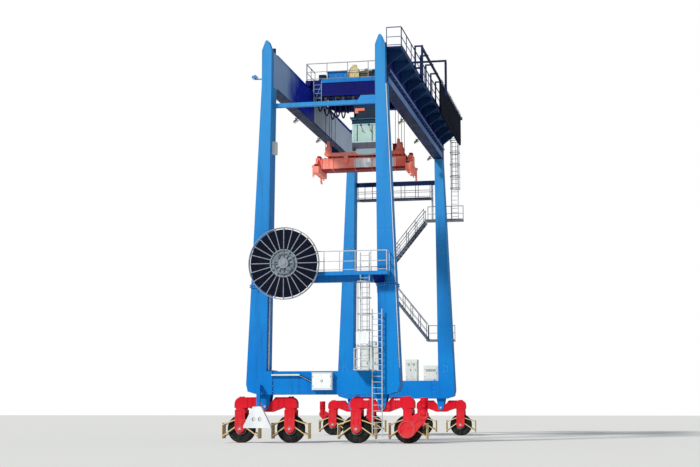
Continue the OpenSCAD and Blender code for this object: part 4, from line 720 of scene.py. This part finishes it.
# Cable loops on the walkway side
LOOP_X, LOOP_LOW, LOOP_R = 4.8, 20.56, 0.232
carriers, strands = parts(2)
for i in range(17):
    y = 0.6 + 0.62 * i
    for s in SIDES:
        carriers.box((LOOP_X + s * 0.066, LOOP_X + s * 0.078), about(y, 0.1), (22.36, 22.6))
        for v in (-0.06, 0.06):
            carriers.pin((LOOP_X + s * 0.062, LOOP_X + s * 0.096), y + v, 22.575, 0.028, 12)
    carriers.box(about(LOOP_X, 0.1), about(y, 0.16), (22.355, 22.385))
    for k in range(4):
        x = LOOP_X - 0.052 + 0.035 * k
        bend = [(x, y - LOOP_R * cos(a), LOOP_LOW - LOOP_R * sin(a)) for a in spaced(0, pi, 11)]
        strands.path([(x, y - 0.226, 22.34)] + bend + [(x, y + 0.226, 22.34)], 0.017, 6)
carriers.done("cable_carriers", "galvanised")
strands.done("cable_strands", "cable_black", smooth=True)

boxes("cage_plate", "white", 0.003, ((2.02, 2.68), (-13.2, -13.188), (5.18, 5.8)))
cage = Part()
cage.box((2.03, 2.67), (-13.192, -13.18), (5.05, 5.1))
for x in (1.9, 2.8):
    cage.bar((x, -12.42, 3.87), (x, -12.42, 5.06), 0.03)
cage.done("cage_foot_posts", "galvanised")

# Cable reel
REEL = Vector((-1.8, -13.585, 9.45))
INNER_TURN, TURN_PITCH = 0.785, 0.0545


def on_reel(r, a, y):
    """Point at a radius and an angle on the reel, y in front of or behind its middle."""
    return REEL + Vector((r * cos(a), y, r * sin(a)))


rings = Part("reel")
for i in range(19):
    r = INNER_TURN + TURN_PITCH * i
    for s in SIDES:
        rings.revolve([(r - 0.025, s * 0.037), (r - 0.013, s * 0.054), (r + 0.013, s * 0.054),
                       (r + 0.025, s * 0.037)], REEL, (0, 1, 0), 72)
rings.done("reel_cable_turns", "cable_black", smooth=True)
hub, bolts = parts(2, "reel")
for a in angles(24):
    for v in (-0.079, 0.075):
        hub.bar(on_reel(0.7, a, v), on_reel(0.8, a, v), 0.014, 0.06)
    bolts.rod(on_reel(0.725, a, -0.09), on_reel(0.725, a, -0.075), 0.016, 6)
hub.revolve(washer(0.5, 0.58, -0.105, -0.088), REEL, (0, 1, 0), 48)
CAP = [(0, -0.153), (0.115, -0.153), (0.135, -0.142), (0.135, -0.06), (0, -0.06)]
hub.revolve(CAP, REEL, (0, 1, 0), 32)
bolts.bolts(REEL + Vector((0, -0.1, 0)), (0, -1, 0), 0.245, 16, 0.014, 0.014)
for x, z, half_x, front, half_z in ((0.3, -0.3, 0.13, 0.15, 0.1), (-0.34, 0.22, 0.09, 0.14, 0.14)):
    hub.box(about(REEL.x + x, half_x), (REEL.y - front, REEL.y - 0.04), about(REEL.z + z, half_z))
hub.done("reel_hub_detail", "hub_grey", 0.004)
bolts.done("reel_hub_bolts", "galvanised")

# Trolley
Part.usual_body = "trolley"
DECK = 22.2
DRUM_Z = 22.68
CASE_AT = (-0.28, -2.218, 22.76)


def motor_shell(part, x0, x1, y, z, r):
    """Cowl, fins and terminal box over a plain motor along X."""
    length = x1 - x0
    fins = (x0 + length * 0.07, x0 + length * 0.74)
    part.pin((x0 - 0.002, fins[0]), y, z, r - 0.012, 32)
    part.pin((x0 + 0.01, x1 - 0.01), y, z, r - 0.027, 32)
    part.pin((x0 + length * 0.76, x1 + 0.003), y, z, r + 0.004, 40)
    for a in angles(32):
        c, s = (r - 0.012) * cos(a), (r - 0.012) * sin(a)
        part.bar((fins[0], y + c, z + s), (fins[1], y + c, z + s), 0.034 if abs(s) < 1e-6 else 0.014, 0.03)
    part.box((x0 + length * 0.34, x0 + length * 0.61), about(y, 0.115), (z + r * 0.6, z + r + 0.094))


motors = Part()
motor_shell(motors, 0.12, 0.86, -1.92, 22.53, 0.26)
motor_shell(motors, -2.35, -1.4003, 0.33, 22.62, 0.29)
motors.done("trolley_motors", "motor_dark")

drive, bolts = parts(2)
# Flange round the domed front of the trolley drive case, its foot, gauge, cap and bolts
drive.revolve(washer(0.22, 0.285, 0, 0.02), CASE_AT, (0, -1, 0), 40)
drive.box((-0.66, 0.08), (-2.22, -1.58), (DECK, 22.235))
drive.box((-0.33, -0.23), (-2.245, -2.218), (22.25, 22.47))
drive.pin(-0.28, -1.94, (23.155, 23.2), 0.06, 20)
bolts.bolts((CASE_AT[0], -2.238, CASE_AT[2]), (0, -1, 0), 0.252, 16, 0.014, 0.014)
for x in (-0.62, 0.04):
    for y in (-2.16, -1.64):
        bolts.pin(x, y, (22.235, 22.262), 0.02, 6)
# Split flange, foot, bolts and lifting eyes of the hoist gear case
for z in (22.555, 22.815):
    drive.box((-1.42, -0.915), (-0.655, 0.655), (z + 0.004, z + 0.026))
drive.box((-1.418, -0.9), (-0.64, 0.64), (DECK, 22.24))
for y in (-0.5, -0.17, 0.17, 0.5):
    for x in (-1.418, -0.918):
        bolts.pin(x, y, (22.58, 22.6), 0.018, 6)
for y in (-0.22, 0.22):
    drive.revolve(washer(0.05, 0.085, -0.012, 0.012), (-1.15, y, 23.21), (1, 0, 0), 20)
# Bearing block cap beside the drum
drive.revolve([(0, 0), (0.17, 0), (0.15, 0.03), (0, 0.035)], (1.56, 0, DRUM_Z), (1, 0, 0), 32)
bolts.bolts((1.56, 0, DRUM_Z), (1, 0, 0), 0.19, 10, 0.014, 0.014)
drive.done("gear_case_detail", "drive_tan", 0.004)
bolts.done("drive_bolts", "galvanised")

turns = Part()
ROPE_TURN = [(0.35, -0.016), (0.368, -0.018), (0.378, 0), (0.368, 0.018), (0.35, 0.016)]
for s in SIDES:
    for i in range(11):
        turns.revolve(ROPE_TURN, (0.2 + s * (1.005 - 0.07 * i), 0, DRUM_Z), (1, 0, 0), 48)
turns.done("drum_rope_turns", "dark_steel", smooth=True)

doors, trim = parts(2)
# Doors, hinges and handles of the blue control cabinet
for x in (-1.91, -1.325):
    doors.box((x + 0.01, x + 0.555), (-2.252, -2.238), (22.26, 22.66))
    trim.box((x + 0.5, x + 0.52), (-2.272, -2.25), (22.4, 22.52))
    for z in (22.32, 22.58):
        trim.pin(x + 0.018, -2.258, about(z, 0.03), 0.012, 10)
# Doors of the tall cabinet
for z0, z1 in ((22.36, 23.02), (23.06, 23.84)):
    doors.box((2.22, 2.71), (-0.226, -0.214), (z0, z1))
    trim.box((2.66, 2.68), (-0.246, -0.224), about((z0 + z1) / 2, 0.08))
for i in range(6):
    doors.box((2.3, 2.62), (-0.235, -0.226), (22.46 + 0.05 * i, 22.48 + 0.05 * i))
doors.done("trolley_cabinet_doors", "sky_blue", 0.003)
trim.done("trolley_cabinet_trim", "galvanised")

boxes("trolley_service_boxes", "teal_dark", 0.008,
      ((0.9, 1.34), (-2.2, -1.62), (DECK, 22.74)),
      ((0.88, 1.36), (-2.22, -1.6), (22.72, 22.755)),
      ((-2.55, -2.12), (-2.1, -1.7), (DECK, 22.62)))

BEAM_Y = 2.4
ribs = Part()
# Web stiffeners and lower flanges of the front and rear beams
for s in SIDES:
    y = s * BEAM_Y
    for x in spaced(-2.56, 2.56, 9):
        ribs.box(about(x, 0.007), (y, y + s * 0.016), (21.2 if abs(x) < 2.3 else 21.46, 22))
    ribs.box((-2.3, 2.3), (y - s * 0.43, y + s * 0.018), (21.174, 21.191))
ribs.done("trolley_beam_ribs", "deep_blue", 0.002)

ends = Part()
# Ladder-like frame at the left end of the trolley
x0, x1, y = -2.79, -2.3, -2.42
for x in (x0, x1):
    ends.bar((x, y, 20.75), (x, y, 22.15), 0.05)
for z in (20.78, 21.05, 21.35, 21.62, 21.89):
    ends.bar((x0, y, z), (x1, y, z), 0.035)
ends.bar((x0, y, 20.78), (x1, y, 21.89), 0.03)
ends.done("trolley_end_frame", "end_blue", 0.003)

hung = Part()
# Drip loops of the trolley's cables between the brackets under the front beam
LOOP_TOP = 21.17
for k, (x0, x1, low) in enumerate(((-2.62, -2.2, 20.25), (-2.25, -1.72, 19.95), (-1.85, -1.38, 19.7),
                                   (-1.5, -1.05, 19.85), (-1.15, -0.72, 19.75), (-0.82, -0.45, 20.05),
                                   (-0.55, -0.2, 20.25))):
    hung.path([(x0 + (x1 - x0) * i / 14, -2.24 - 0.05 * (k % 2),
                LOOP_TOP - (LOOP_TOP - low) * sin(pi * i / 14) ** 0.7) for i in range(15)], 0.045, 8)
hung.done("trolley_cable_loops", "cable_black", smooth=True)
boxes("trolley_cable_clamps", "dark_steel", 0.006,
      *((about(x, 0.09), (-2.32, -2.1), (20.62, 21.172)) for x in (-2.05, -1.45, -0.95, -0.3)),
      ((-2.66, -0.12), (-2.3, -2.12), (21.05, 21.172)))

# Cab
CAB_X = (-0.2, 1.75)
FRONT, BACK = -3.2, -1.45
GLASS_Z = (18.03, 19.06)
HEAD_PANEL_Z = (19.12, 19.42)
CAB_ENDS = tuple(zip(SIDES, CAB_X))


def wide(more):
    """Width of the cab with a little more at either side."""
    return CAB_X[0] - more, CAB_X[1] + more


# Painted shade: a dark band round the cab's top panels, under the roof's overhang.
boxes("cab_head_shade_panels", "teal_dark", 0.004,
      (wide(0.006), (FRONT - 0.006, FRONT + 0.03), HEAD_PANEL_Z),
      (wide(0.006), (BACK - 0.03, BACK + 0.006), HEAD_PANEL_Z),
      *(((x - s * 0.03, x + s * 0.006), (FRONT, BACK), HEAD_PANEL_Z) for s, x in CAB_ENDS))

skirt = Part()
for s, x in CAB_ENDS:
    skirt.prism([(-3.02, 17.61), (-1.46, 17.61), (-1.46, 17.98), (-3.18, 17.98)], "x",
                x - s * 0.03, x + s * 0.006)
skirt.tube([[(CAB_X[0], y0, z0), (CAB_X[1], y0, z0), (CAB_X[1], y1, z1), (CAB_X[0], y1, z1)]
            for y0, z0, y1, z1 in ((-3.027, 17.602, -3.205, 17.965), (-2.99, 17.61, -3.17, 17.975))])
skirt.box(CAB_X, (BACK - 0.03, BACK + 0.006), (17.62, 17.98))
skirt.done("cab_skirt", "cab_grey", 0.004)

boxes("cab_mullions", "teal_dark", 0.003,
      *((about(x, 0.02), (FRONT - 0.004, FRONT + 0.05), GLASS_Z) for x in (0.12, 1.05)))
frames = Part()
for y in (-2.62, -2.05):
    for s, x in CAB_ENDS:
        frames.box((x - s * 0.05, x + s * 0.004), about(y, 0.025), GLASS_Z)
for z in (GLASS_Z[0] - 0.03, GLASS_Z[1]):
    frames.box(wide(0.008), (FRONT - 0.008, FRONT + 0.02), (z, z + 0.03))
    for s, x in CAB_ENDS:
        frames.box((x - s * 0.02, x + s * 0.008), (FRONT, BACK), (z, z + 0.03))
frames.done("cab_window_frames", "cab_pale", 0.003)

wipers = Part()
for x in (0.35, 0.85):
    wipers.bar((x, FRONT - 0.02, 19.03), (x + 0.16, FRONT - 0.02, 18.62), 0.014)
    wipers.bar((x + 0.06, FRONT - 0.016, 18.7), (x + 0.26, FRONT - 0.016, 18.54), 0.02)
    wipers.box(about(x, 0.05), (FRONT - 0.03, FRONT), (19.02, 19.09))
wipers.done("cab_wipers", "seal_black")

ARMREST_X = (0.4, 1.14)
seat, sticks = parts(2)
seat.box((0.52, 1.02), (-2.55, -2.05), (18.02, 18.14))
seat.box((0.55, 0.99), (-2.14, -2.04), (18.12, 18.82))
seat.box((0.66, 0.88), (-2.13, -2.06), (18.84, 19.02))
for x in ARMREST_X:
    seat.box(about(x, 0.12), (-2.72, -2.1), (17.95, 18.24))
    sticks.box(about(x, 0.11), (-2.74, -2.5), (18.24, 18.27))
    sticks.rod((x, -2.62, 18.27), (x, -2.65, 18.42), 0.014, 10)
    sticks.rod((x, -2.65, 18.4), (x, -2.655, 18.46), 0.026, 12)
seat.pin(0.77, -2.3, (17.665, 18.03), 0.1, 20)
seat.done("cab_seat", "seal_black", 0.02)
sticks.box((1.28, 1.34), (-2.95, -2.65), (18.3, 18.62))
sticks.done("cab_controls", "dark_steel", 0.004)

rail = Part()
for x in wide(0.09):
    rail.bar((x, -3.28, 19.56), (x, -1.44, 19.56), 0.03)
    for y in (-3.28, -2.36, -1.44):
        rail.bar((x, y, 19.53), (x, y, 19.6), 0.022)
rail.done("cab_roof_rail", "galvanised")

ROOF_EDGE_Z = (19.425, 19.536)
boxes("cab_roof_shell", "teal_dark", 0.003,
      *(((x - s * 0.004, x + s * 0.006), (-3.296, -1.426), ROOF_EDGE_Z) for s, x in zip(SIDES, wide(0.09))),
      (wide(0.096), (-3.298, -3.286), ROOF_EDGE_Z),
      (wide(0.096), (-3.298, -1.426), (19.528, 19.538)),
      ((-0.2, 1.66), (-2.56, -2.42), (19.54, 20.02)),
      ((0.172, 1.428), (-3.126, -2.634), (19.53, 19.953)),
      ((-0.2, 1.6), (-2.6, -2.46), (19.53, 20.42)),
      ((-0.2, -0.06), (-2.6, -1.62), (19.53, 20.2)),
      ((1.46, 1.6), (-2.6, -1.62), (19.53, 20.2)),
      *((about(0.11 + 0.3 * i, 0.09), (-2.612, -2.598), (20.02, 20.36)) for i in range(5)))
boxes("cab_roof_unit_louvres", "dark_steel", 0.003,
      *(((0.24, 1.36), (-3.134, -3.124), (19.6 + 0.045 * i, 19.62 + 0.045 * i)) for i in range(7)),
      ((0.16, 1.44), (-3.14, -2.62), (19.925, 19.955)))

hangers = Part()
# Dark equipment and bracing between the posts that carry the cab
hangers.box((0.1, 1.5), (-2.3, -2.1), (20.05, 21.12))
hangers.box((0.6, 1.45), (-2.42, -2.28), (20.3, 20.86))
for x in (0, 1.55):
    for z0, z1 in ((19.62, 20.4), (20.4, 21.15)):
        hangers.bar((x, -2.34, z0), (x, -2.04, z1), 0.05)
for y in (-2.34, -2.04):
    hangers.bar((0, y, 19.66), (1.55, y, 20.1), 0.05)
    hangers.bar((0, y, 20.1), (1.55, y, 19.66), 0.05)
    hangers.bar((0, y, 20.12), (1.55, y, 20.12), 0.07)
for x in (0.35, 0.75, 1.15):
    hangers.bar((x, -2.31, 20.08), (x, -2.31, 21.1), 0.03)
hangers.done("cab_hanger_frame", "shaded_navy", 0.004)

hose_box = Part()
hose_box.box((-0.14, 0.48), (-2.62, -2.4), (19.92, 20.24))
for x in (-0.04, 0.36):
    hose_box.pin(x, -2.51, (20.24, 20.31), 0.05, 16)
hose_box.done("hose_box", "spreader_red", 0.02)
boxes("hose_box_bracket", "dark_steel", 0.004, ((-0.1, 0.44), (-2.41, -2.3), (20, 20.16)))

steps = Part()
# Railed platform outside the cab's door at the back
x0, x1, y = -0.12, 1.66, -0.98
top, middle = 18.72, 18.2
steps.box((-0.15, 1.7), (BACK, -0.95), (17.62, 17.66))
for x in (x0, 0.78, x1):
    steps.bar((x, y, 17.66), (x, y, top), 0.035)
for z, thick in ((top, 0.035), (middle, 0.028)):
    steps.bar((x0, y, z), (x1, y, z), thick)
    for x in (x0, x1):
        steps.bar((x, -1.43, z), (x, y, z), 0.03)
steps.done("cab_platform", "galvanised")
lamps, lenses = parts(2)
for x in (-0.05, 1.6):
    floodlight(lamps, lenses, x, -3.26, 17.5, -pi / 2, 0.3, 0.2)
lamps.done("cab_lamps", "dark_steel", 0.003)
lenses.done("cab_lamp_lenses", "lamp")

# Spreader
Part.usual_body = "spreader"
BEAM_TOP, HOSE_Z = 17.57, 17.6
HEAD_TOP = 17.89
ROPE_X, ROPE_Y = 2.25, 0.56
SHEAVE_R = 0.1913
ROPE_TOP, ROPE_END = 21.6397, 18.12

boxes("spreader_panel", "white", 0,
      *(((-0.62, 2.05), (s * 0.478, s * 0.486), (16.93, 17.5)) for s in SIDES))
boxes("spreader_underside", "dark_red", 0.003,
      ((-2.7, 2.7), (-0.5, 0.5), (16.8, 16.852)),
      *(((-2.7, 2.7), (s * 0.47, s * 0.515), (16.8, 16.9)) for s in SIDES))

power = Part()
power.box((0.5, 0.96), (-0.34, 0.34), (BEAM_TOP, 17.86))
power.pin((0.56, 0.92), -0.12, 17.95, 0.1, 20)
power.pin((-0.98, -0.5), 0, 17.74, 0.15, 24)
power.done("spreader_power_pack", "dark_red", 0.01)
hoses = Part()
for y in (-0.24, -0.12, 0, 0.12, 0.24):
    for row in (((0.5, 0.5, 0.06), (0.3, 1, 0.02), (-0.2, 1, 0), (-0.9, 1, 0), (-1.6, 1, 0),
                 (-2.3, 1.2, 0), (-2.6, 1.4, 0.03)),
                ((0.96, 0.5, 0.06), (1.3, 1, 0.02), (1.9, 1, 0), (2.3, 1.2, 0), (2.6, 1.4, 0.03))):
        hoses.path([(x, y * spread, HOSE_Z + rise) for x, spread, rise in row], 0.016, 6)
hoses.done("spreader_hoses", "cable_black", smooth=True)

coil = Part()
ROUND = [(0.27, 0), (0.285, 0.018), (0.315, 0.018), (0.33, 0), (0.315, -0.018), (0.285, -0.018)]
for i in range(7):
    coil.revolve(ROUND, (0, 0, 17.8 + 0.042 * i), (0, 0, 1), 40)
coil.done("spreader_cable_coil", "cable_black", smooth=True)

boxes("headblock_box", "dark_red", 0.008,
      ((1.88, 2.14), (-0.6, -0.3), (17.885, 18.33)),
      ((1.86, 2.16), (-0.62, -0.28), (18.32, 18.35)))
fins = Part()
for s in SIDES:
    fins.prism([(-2.02, HEAD_TOP), (-1.55, HEAD_TOP), (-2.02, 18.42)], "y", s * 0.6, s * 0.64)
fins.done("headblock_fins", "night_blue", 0.003)
bolts, guards = parts(2)
sockets = Part("trolley")
for s, t in CORNERS:
    x, y = s * ROPE_X, t * ROPE_Y
    for v in SIDES:
        bolts.pin(x, (y + v * 0.12, y + v * 0.132), ROPE_END, 0.045, 6)
        for a in angles(6):
            bx, bz = x + 0.1 * cos(a), 18.1 + 0.1 * sin(a)
            bolts.pin(bx, (y + v * 0.089, y + v * 0.1), bz, 0.012, 6)
        guards.prism([(x - 0.11, 18.1), (x + 0.11, 18.1), (x + 0.07, 18.62), (x - 0.07, 18.62)], "y",
                     y + v * 0.115, y + v * 0.131)
    for u, v in oblong(0.07, 0.07):
        bolts.pin(s * 1.1 + u, t * 0.58 + v, (HEAD_TOP, 17.91), 0.02, 6)
    guards.box(about(x, 0.075), about(y, 0.13), (18.56, 18.64))
    for k in SIDES:
        end = (x + k * SHEAVE_R, y)
        sockets.rod((*end, 21.642), (*end, 21.5), 0.055, 16, 0.026)
    sockets.box(about(x, 0.27), about(y, 0.125), (21.6, 21.642))
bolts.done("headblock_bolts", "galvanised")
guards.done("sheave_guards", "spreader_red", 0.004)
sockets.done("rope_anchors", "dark_steel", 0.004)

ropes = Part("")
for s, t in CORNERS:
    for k in SIDES:
        x, y = s * ROPE_X + k * SHEAVE_R, t * ROPE_Y
        ropes.path([(x, y, z) for z in spaced(ROPE_TOP, ROPE_END, 25)], 0.016, 8)
rope_piece = ropes.done("hoist_rope_runs", "rope_grey", smooth=True)
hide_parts("hoist_ropes")
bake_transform(rope_piece)

for lr, s in LEFT_RIGHT:
    gear, locks, tips = parts(3, f"spreader_end_{lr}")
    for t in SIDES:
        x, y = s * 2.9265, t * 1.1295
        gear.pin(s * 3.02, (t * 0.6, t * 0.94), 17.08, 0.045, 16)
        gear.box((s * 2.82, s * 3.04), (t * 1, t * 1.18), (16.97, 17.12))
        gear.pin((s * 3.152, s * 3.175), t * 1.11, 16.97, 0.05, 20)
        locks.pin(x, y, (17.12, 17.16), 0.05, 6)
        locks.bolts((s * 3.108, t * 0.8, 16.76), (s, 0, 0), 0.1, 6, 0.012, 0.012)
        locks.bolts((x, y, 17.12), (0, 0, 1), 0.082, 6, 0.012, 0.012)
        tips.box((s * 3.03, s * 3.152), (t * 1.2, t * 1.262), (16.225, 16.3))
    gear.box((s * 2.86, s * 3.07), (-0.22, 0.22), (17.62, 17.8))
    gear.done(f"lock_gear_{lr}", "dark_red", 0.006)
    locks.done(f"lock_bolts_{lr}", "galvanised")
    tips.done(f"guide_tips_{lr}", "white", 0.004)

# Cabinets on the sills
Part.usual_body = "portal"
house, trim = parts(2)
for x in (-2.41, -1.855, -1.3, -0.745):
    house.box((x + 0.012, x + 0.468), (11.2, 11.226), (4.06, 6.03))
    for z in (4.3, 5, 5.8):
        trim.pin(x + 0.02, 11.195, about(z, 0.05), 0.014, 8)
    trim.box((x + 0.39, x + 0.42), (11.165, 11.2), (4.96, 5.14))
house.done("e_house_doors", "pale_grey", 0.004)
trim.done("e_house_trim", "dark_steel")
boxes("e_house_coolers", "white", 0.006,
      ((-2.16, -1.54), (11.62, 12.3), (6.605, 6.625)),
      *(((-2.2, -1.5), (11.608, 11.617), (6.33 + 0.028 * i, 6.345 + 0.028 * i)) for i in range(9)),
      ((-1.1, -0.4), (11.7, 12.3), (6.29, 6.52)))

panels, trim = parts(2)
for x0, x1, z0, z1 in ((0.775, 1.095, 3.94, 5.15), (1.145, 1.465, 3.94, 5.15), (2.055, 2.925, 3.92, 4.74)):
    panels.box((x0, x1), (11.364, 11.372), (z0, z1))
    trim.box((x1 - 0.05, x1 - 0.03), (11.35, 11.372), about((z0 + z1) / 2, 0.08))
    for z in (z0 + 0.15, z1 - 0.15):
        trim.pin(x0 + 0.012, 11.36, about(z, 0.04), 0.011, 8)
    for i in range(6):
        trim.box((x0 + 0.08, x1 - 0.08), (11.358, 11.366), (z1 - 0.3 + 0.03 * i, z1 - 0.29 + 0.03 * i))
panels.done("cabinet_doors", "pale_grey", 0.003)
trim.done("cabinet_trim", "dark_steel")

front = SILL_FACE - 0.334
trim = Part()
boxes("sill_box_doors", "white", 0.004,
      ((-0.44, 0.045), (front - 0.008, front + 0.004), (2.87, 3.67)),
      ((0.055, 0.54), (front - 0.008, front + 0.004), (2.87, 3.67)),
      ((-0.485, 0.585), (front - 0.012, SILL_FACE), (2.8, 2.832)),
      ((-0.486, 0.586), (front + 0.016, SILL_FACE - 0.002), (2.826, 3.704)))
for x in (0, 0.08):
    trim.box((x, x + 0.02), (front - 0.024, front - 0.006), (3.2, 3.34))
for x in (-0.43, 0.53):
    for z in (3, 3.5):
        trim.pin(x, front - 0.012, about(z, 0.04), 0.01, 8)
trim.done("sill_box_trim", "dark_steel")

ducts = Part()
for k in range(4):
    y = SILL_FACE - 0.04 - 0.035 * k
    ducts.path([(x, y, z) for x, z in ((-2.74, 3.592), (-2.2, 3.59), (-1.6, 3.592), (-1.22, 3.59),
                                       (-1.14, 3.566), (-0.56, 3.262), (-0.49, 3.24))], 0.014, 6)
ducts.done("sill_cables", "cable_black", smooth=True)


# Stage, light, camera
FILL_POWER, SUN_POWER = 0.46, 3.1
EYE, LENS_MM = (15.6, -81.685, 1.68), 68.5


def stage():
    """Pale floor, a white sky that fills the shade with cool light, and a soft warm sun."""
    bpy.ops.mesh.primitive_plane_add(size=900, location=(0, 0, 0))
    floor = bpy.context.object
    floor.name = "floor"
    m = Nodes(bpy.data.materials.new("floor"))
    m.surface(Base_Color=srgb("e2e2de"), Roughness=0.9)
    floor.data.materials.append(m.block)

    sky = Nodes(bpy.data.worlds.new("sky"))
    bpy.context.scene.world = sky.block
    fill = sky.tree.nodes["Background"]
    fill.inputs[0].default_value = (0.86, 0.92, 1.0, 1)
    fill.inputs[1].default_value = FILL_POWER
    white = sky.add("ShaderNodeBackground", in_0=(1, 1, 1, 1), in_1=1.0)
    ray = sky.add("ShaderNodeLightPath").outputs
    seen = sky.maths("MAXIMUM", ray["Is Camera Ray"], ray["Is Transmission Ray"])
    both = sky.add("ShaderNodeMixShader", in_0=seen, in_1=fill.outputs[0], in_2=white.outputs[0])
    sky.put(both.outputs[0], sky.tree.nodes["World Output"].inputs[0])

    sun = placed("key", bpy.data.lights.new("key", "SUN"))
    sun.data.energy = SUN_POWER
    sun.data.angle = radians(8)
    sun.data.color = (1.0, 0.97, 0.92)
    sun.rotation_euler = Vector((0.55, 0.85, -0.75)).to_track_quat("-Z", "Y").to_euler()


def camera():
    """The photo's camera, fitted to the crane's outline."""
    cam = placed("camera", bpy.data.cameras.new("camera"))
    yaw, pitch = radians(11.47), radians(7.6)
    look_at = Vector((-sin(yaw) * cos(pitch), cos(yaw) * cos(pitch), sin(pitch)))
    cam.location = EYE
    cam.rotation_euler = look_at.to_track_quat("-Z", "Y").to_euler()
    cam.data.sensor_width = 36
    cam.data.lens = LENS_MM
    cam.data.clip_start, cam.data.clip_end = 1, 2000
    bpy.context.scene.camera = cam


stage()
camera()
bpy.context.scene.view_settings.view_transform = "Standard"
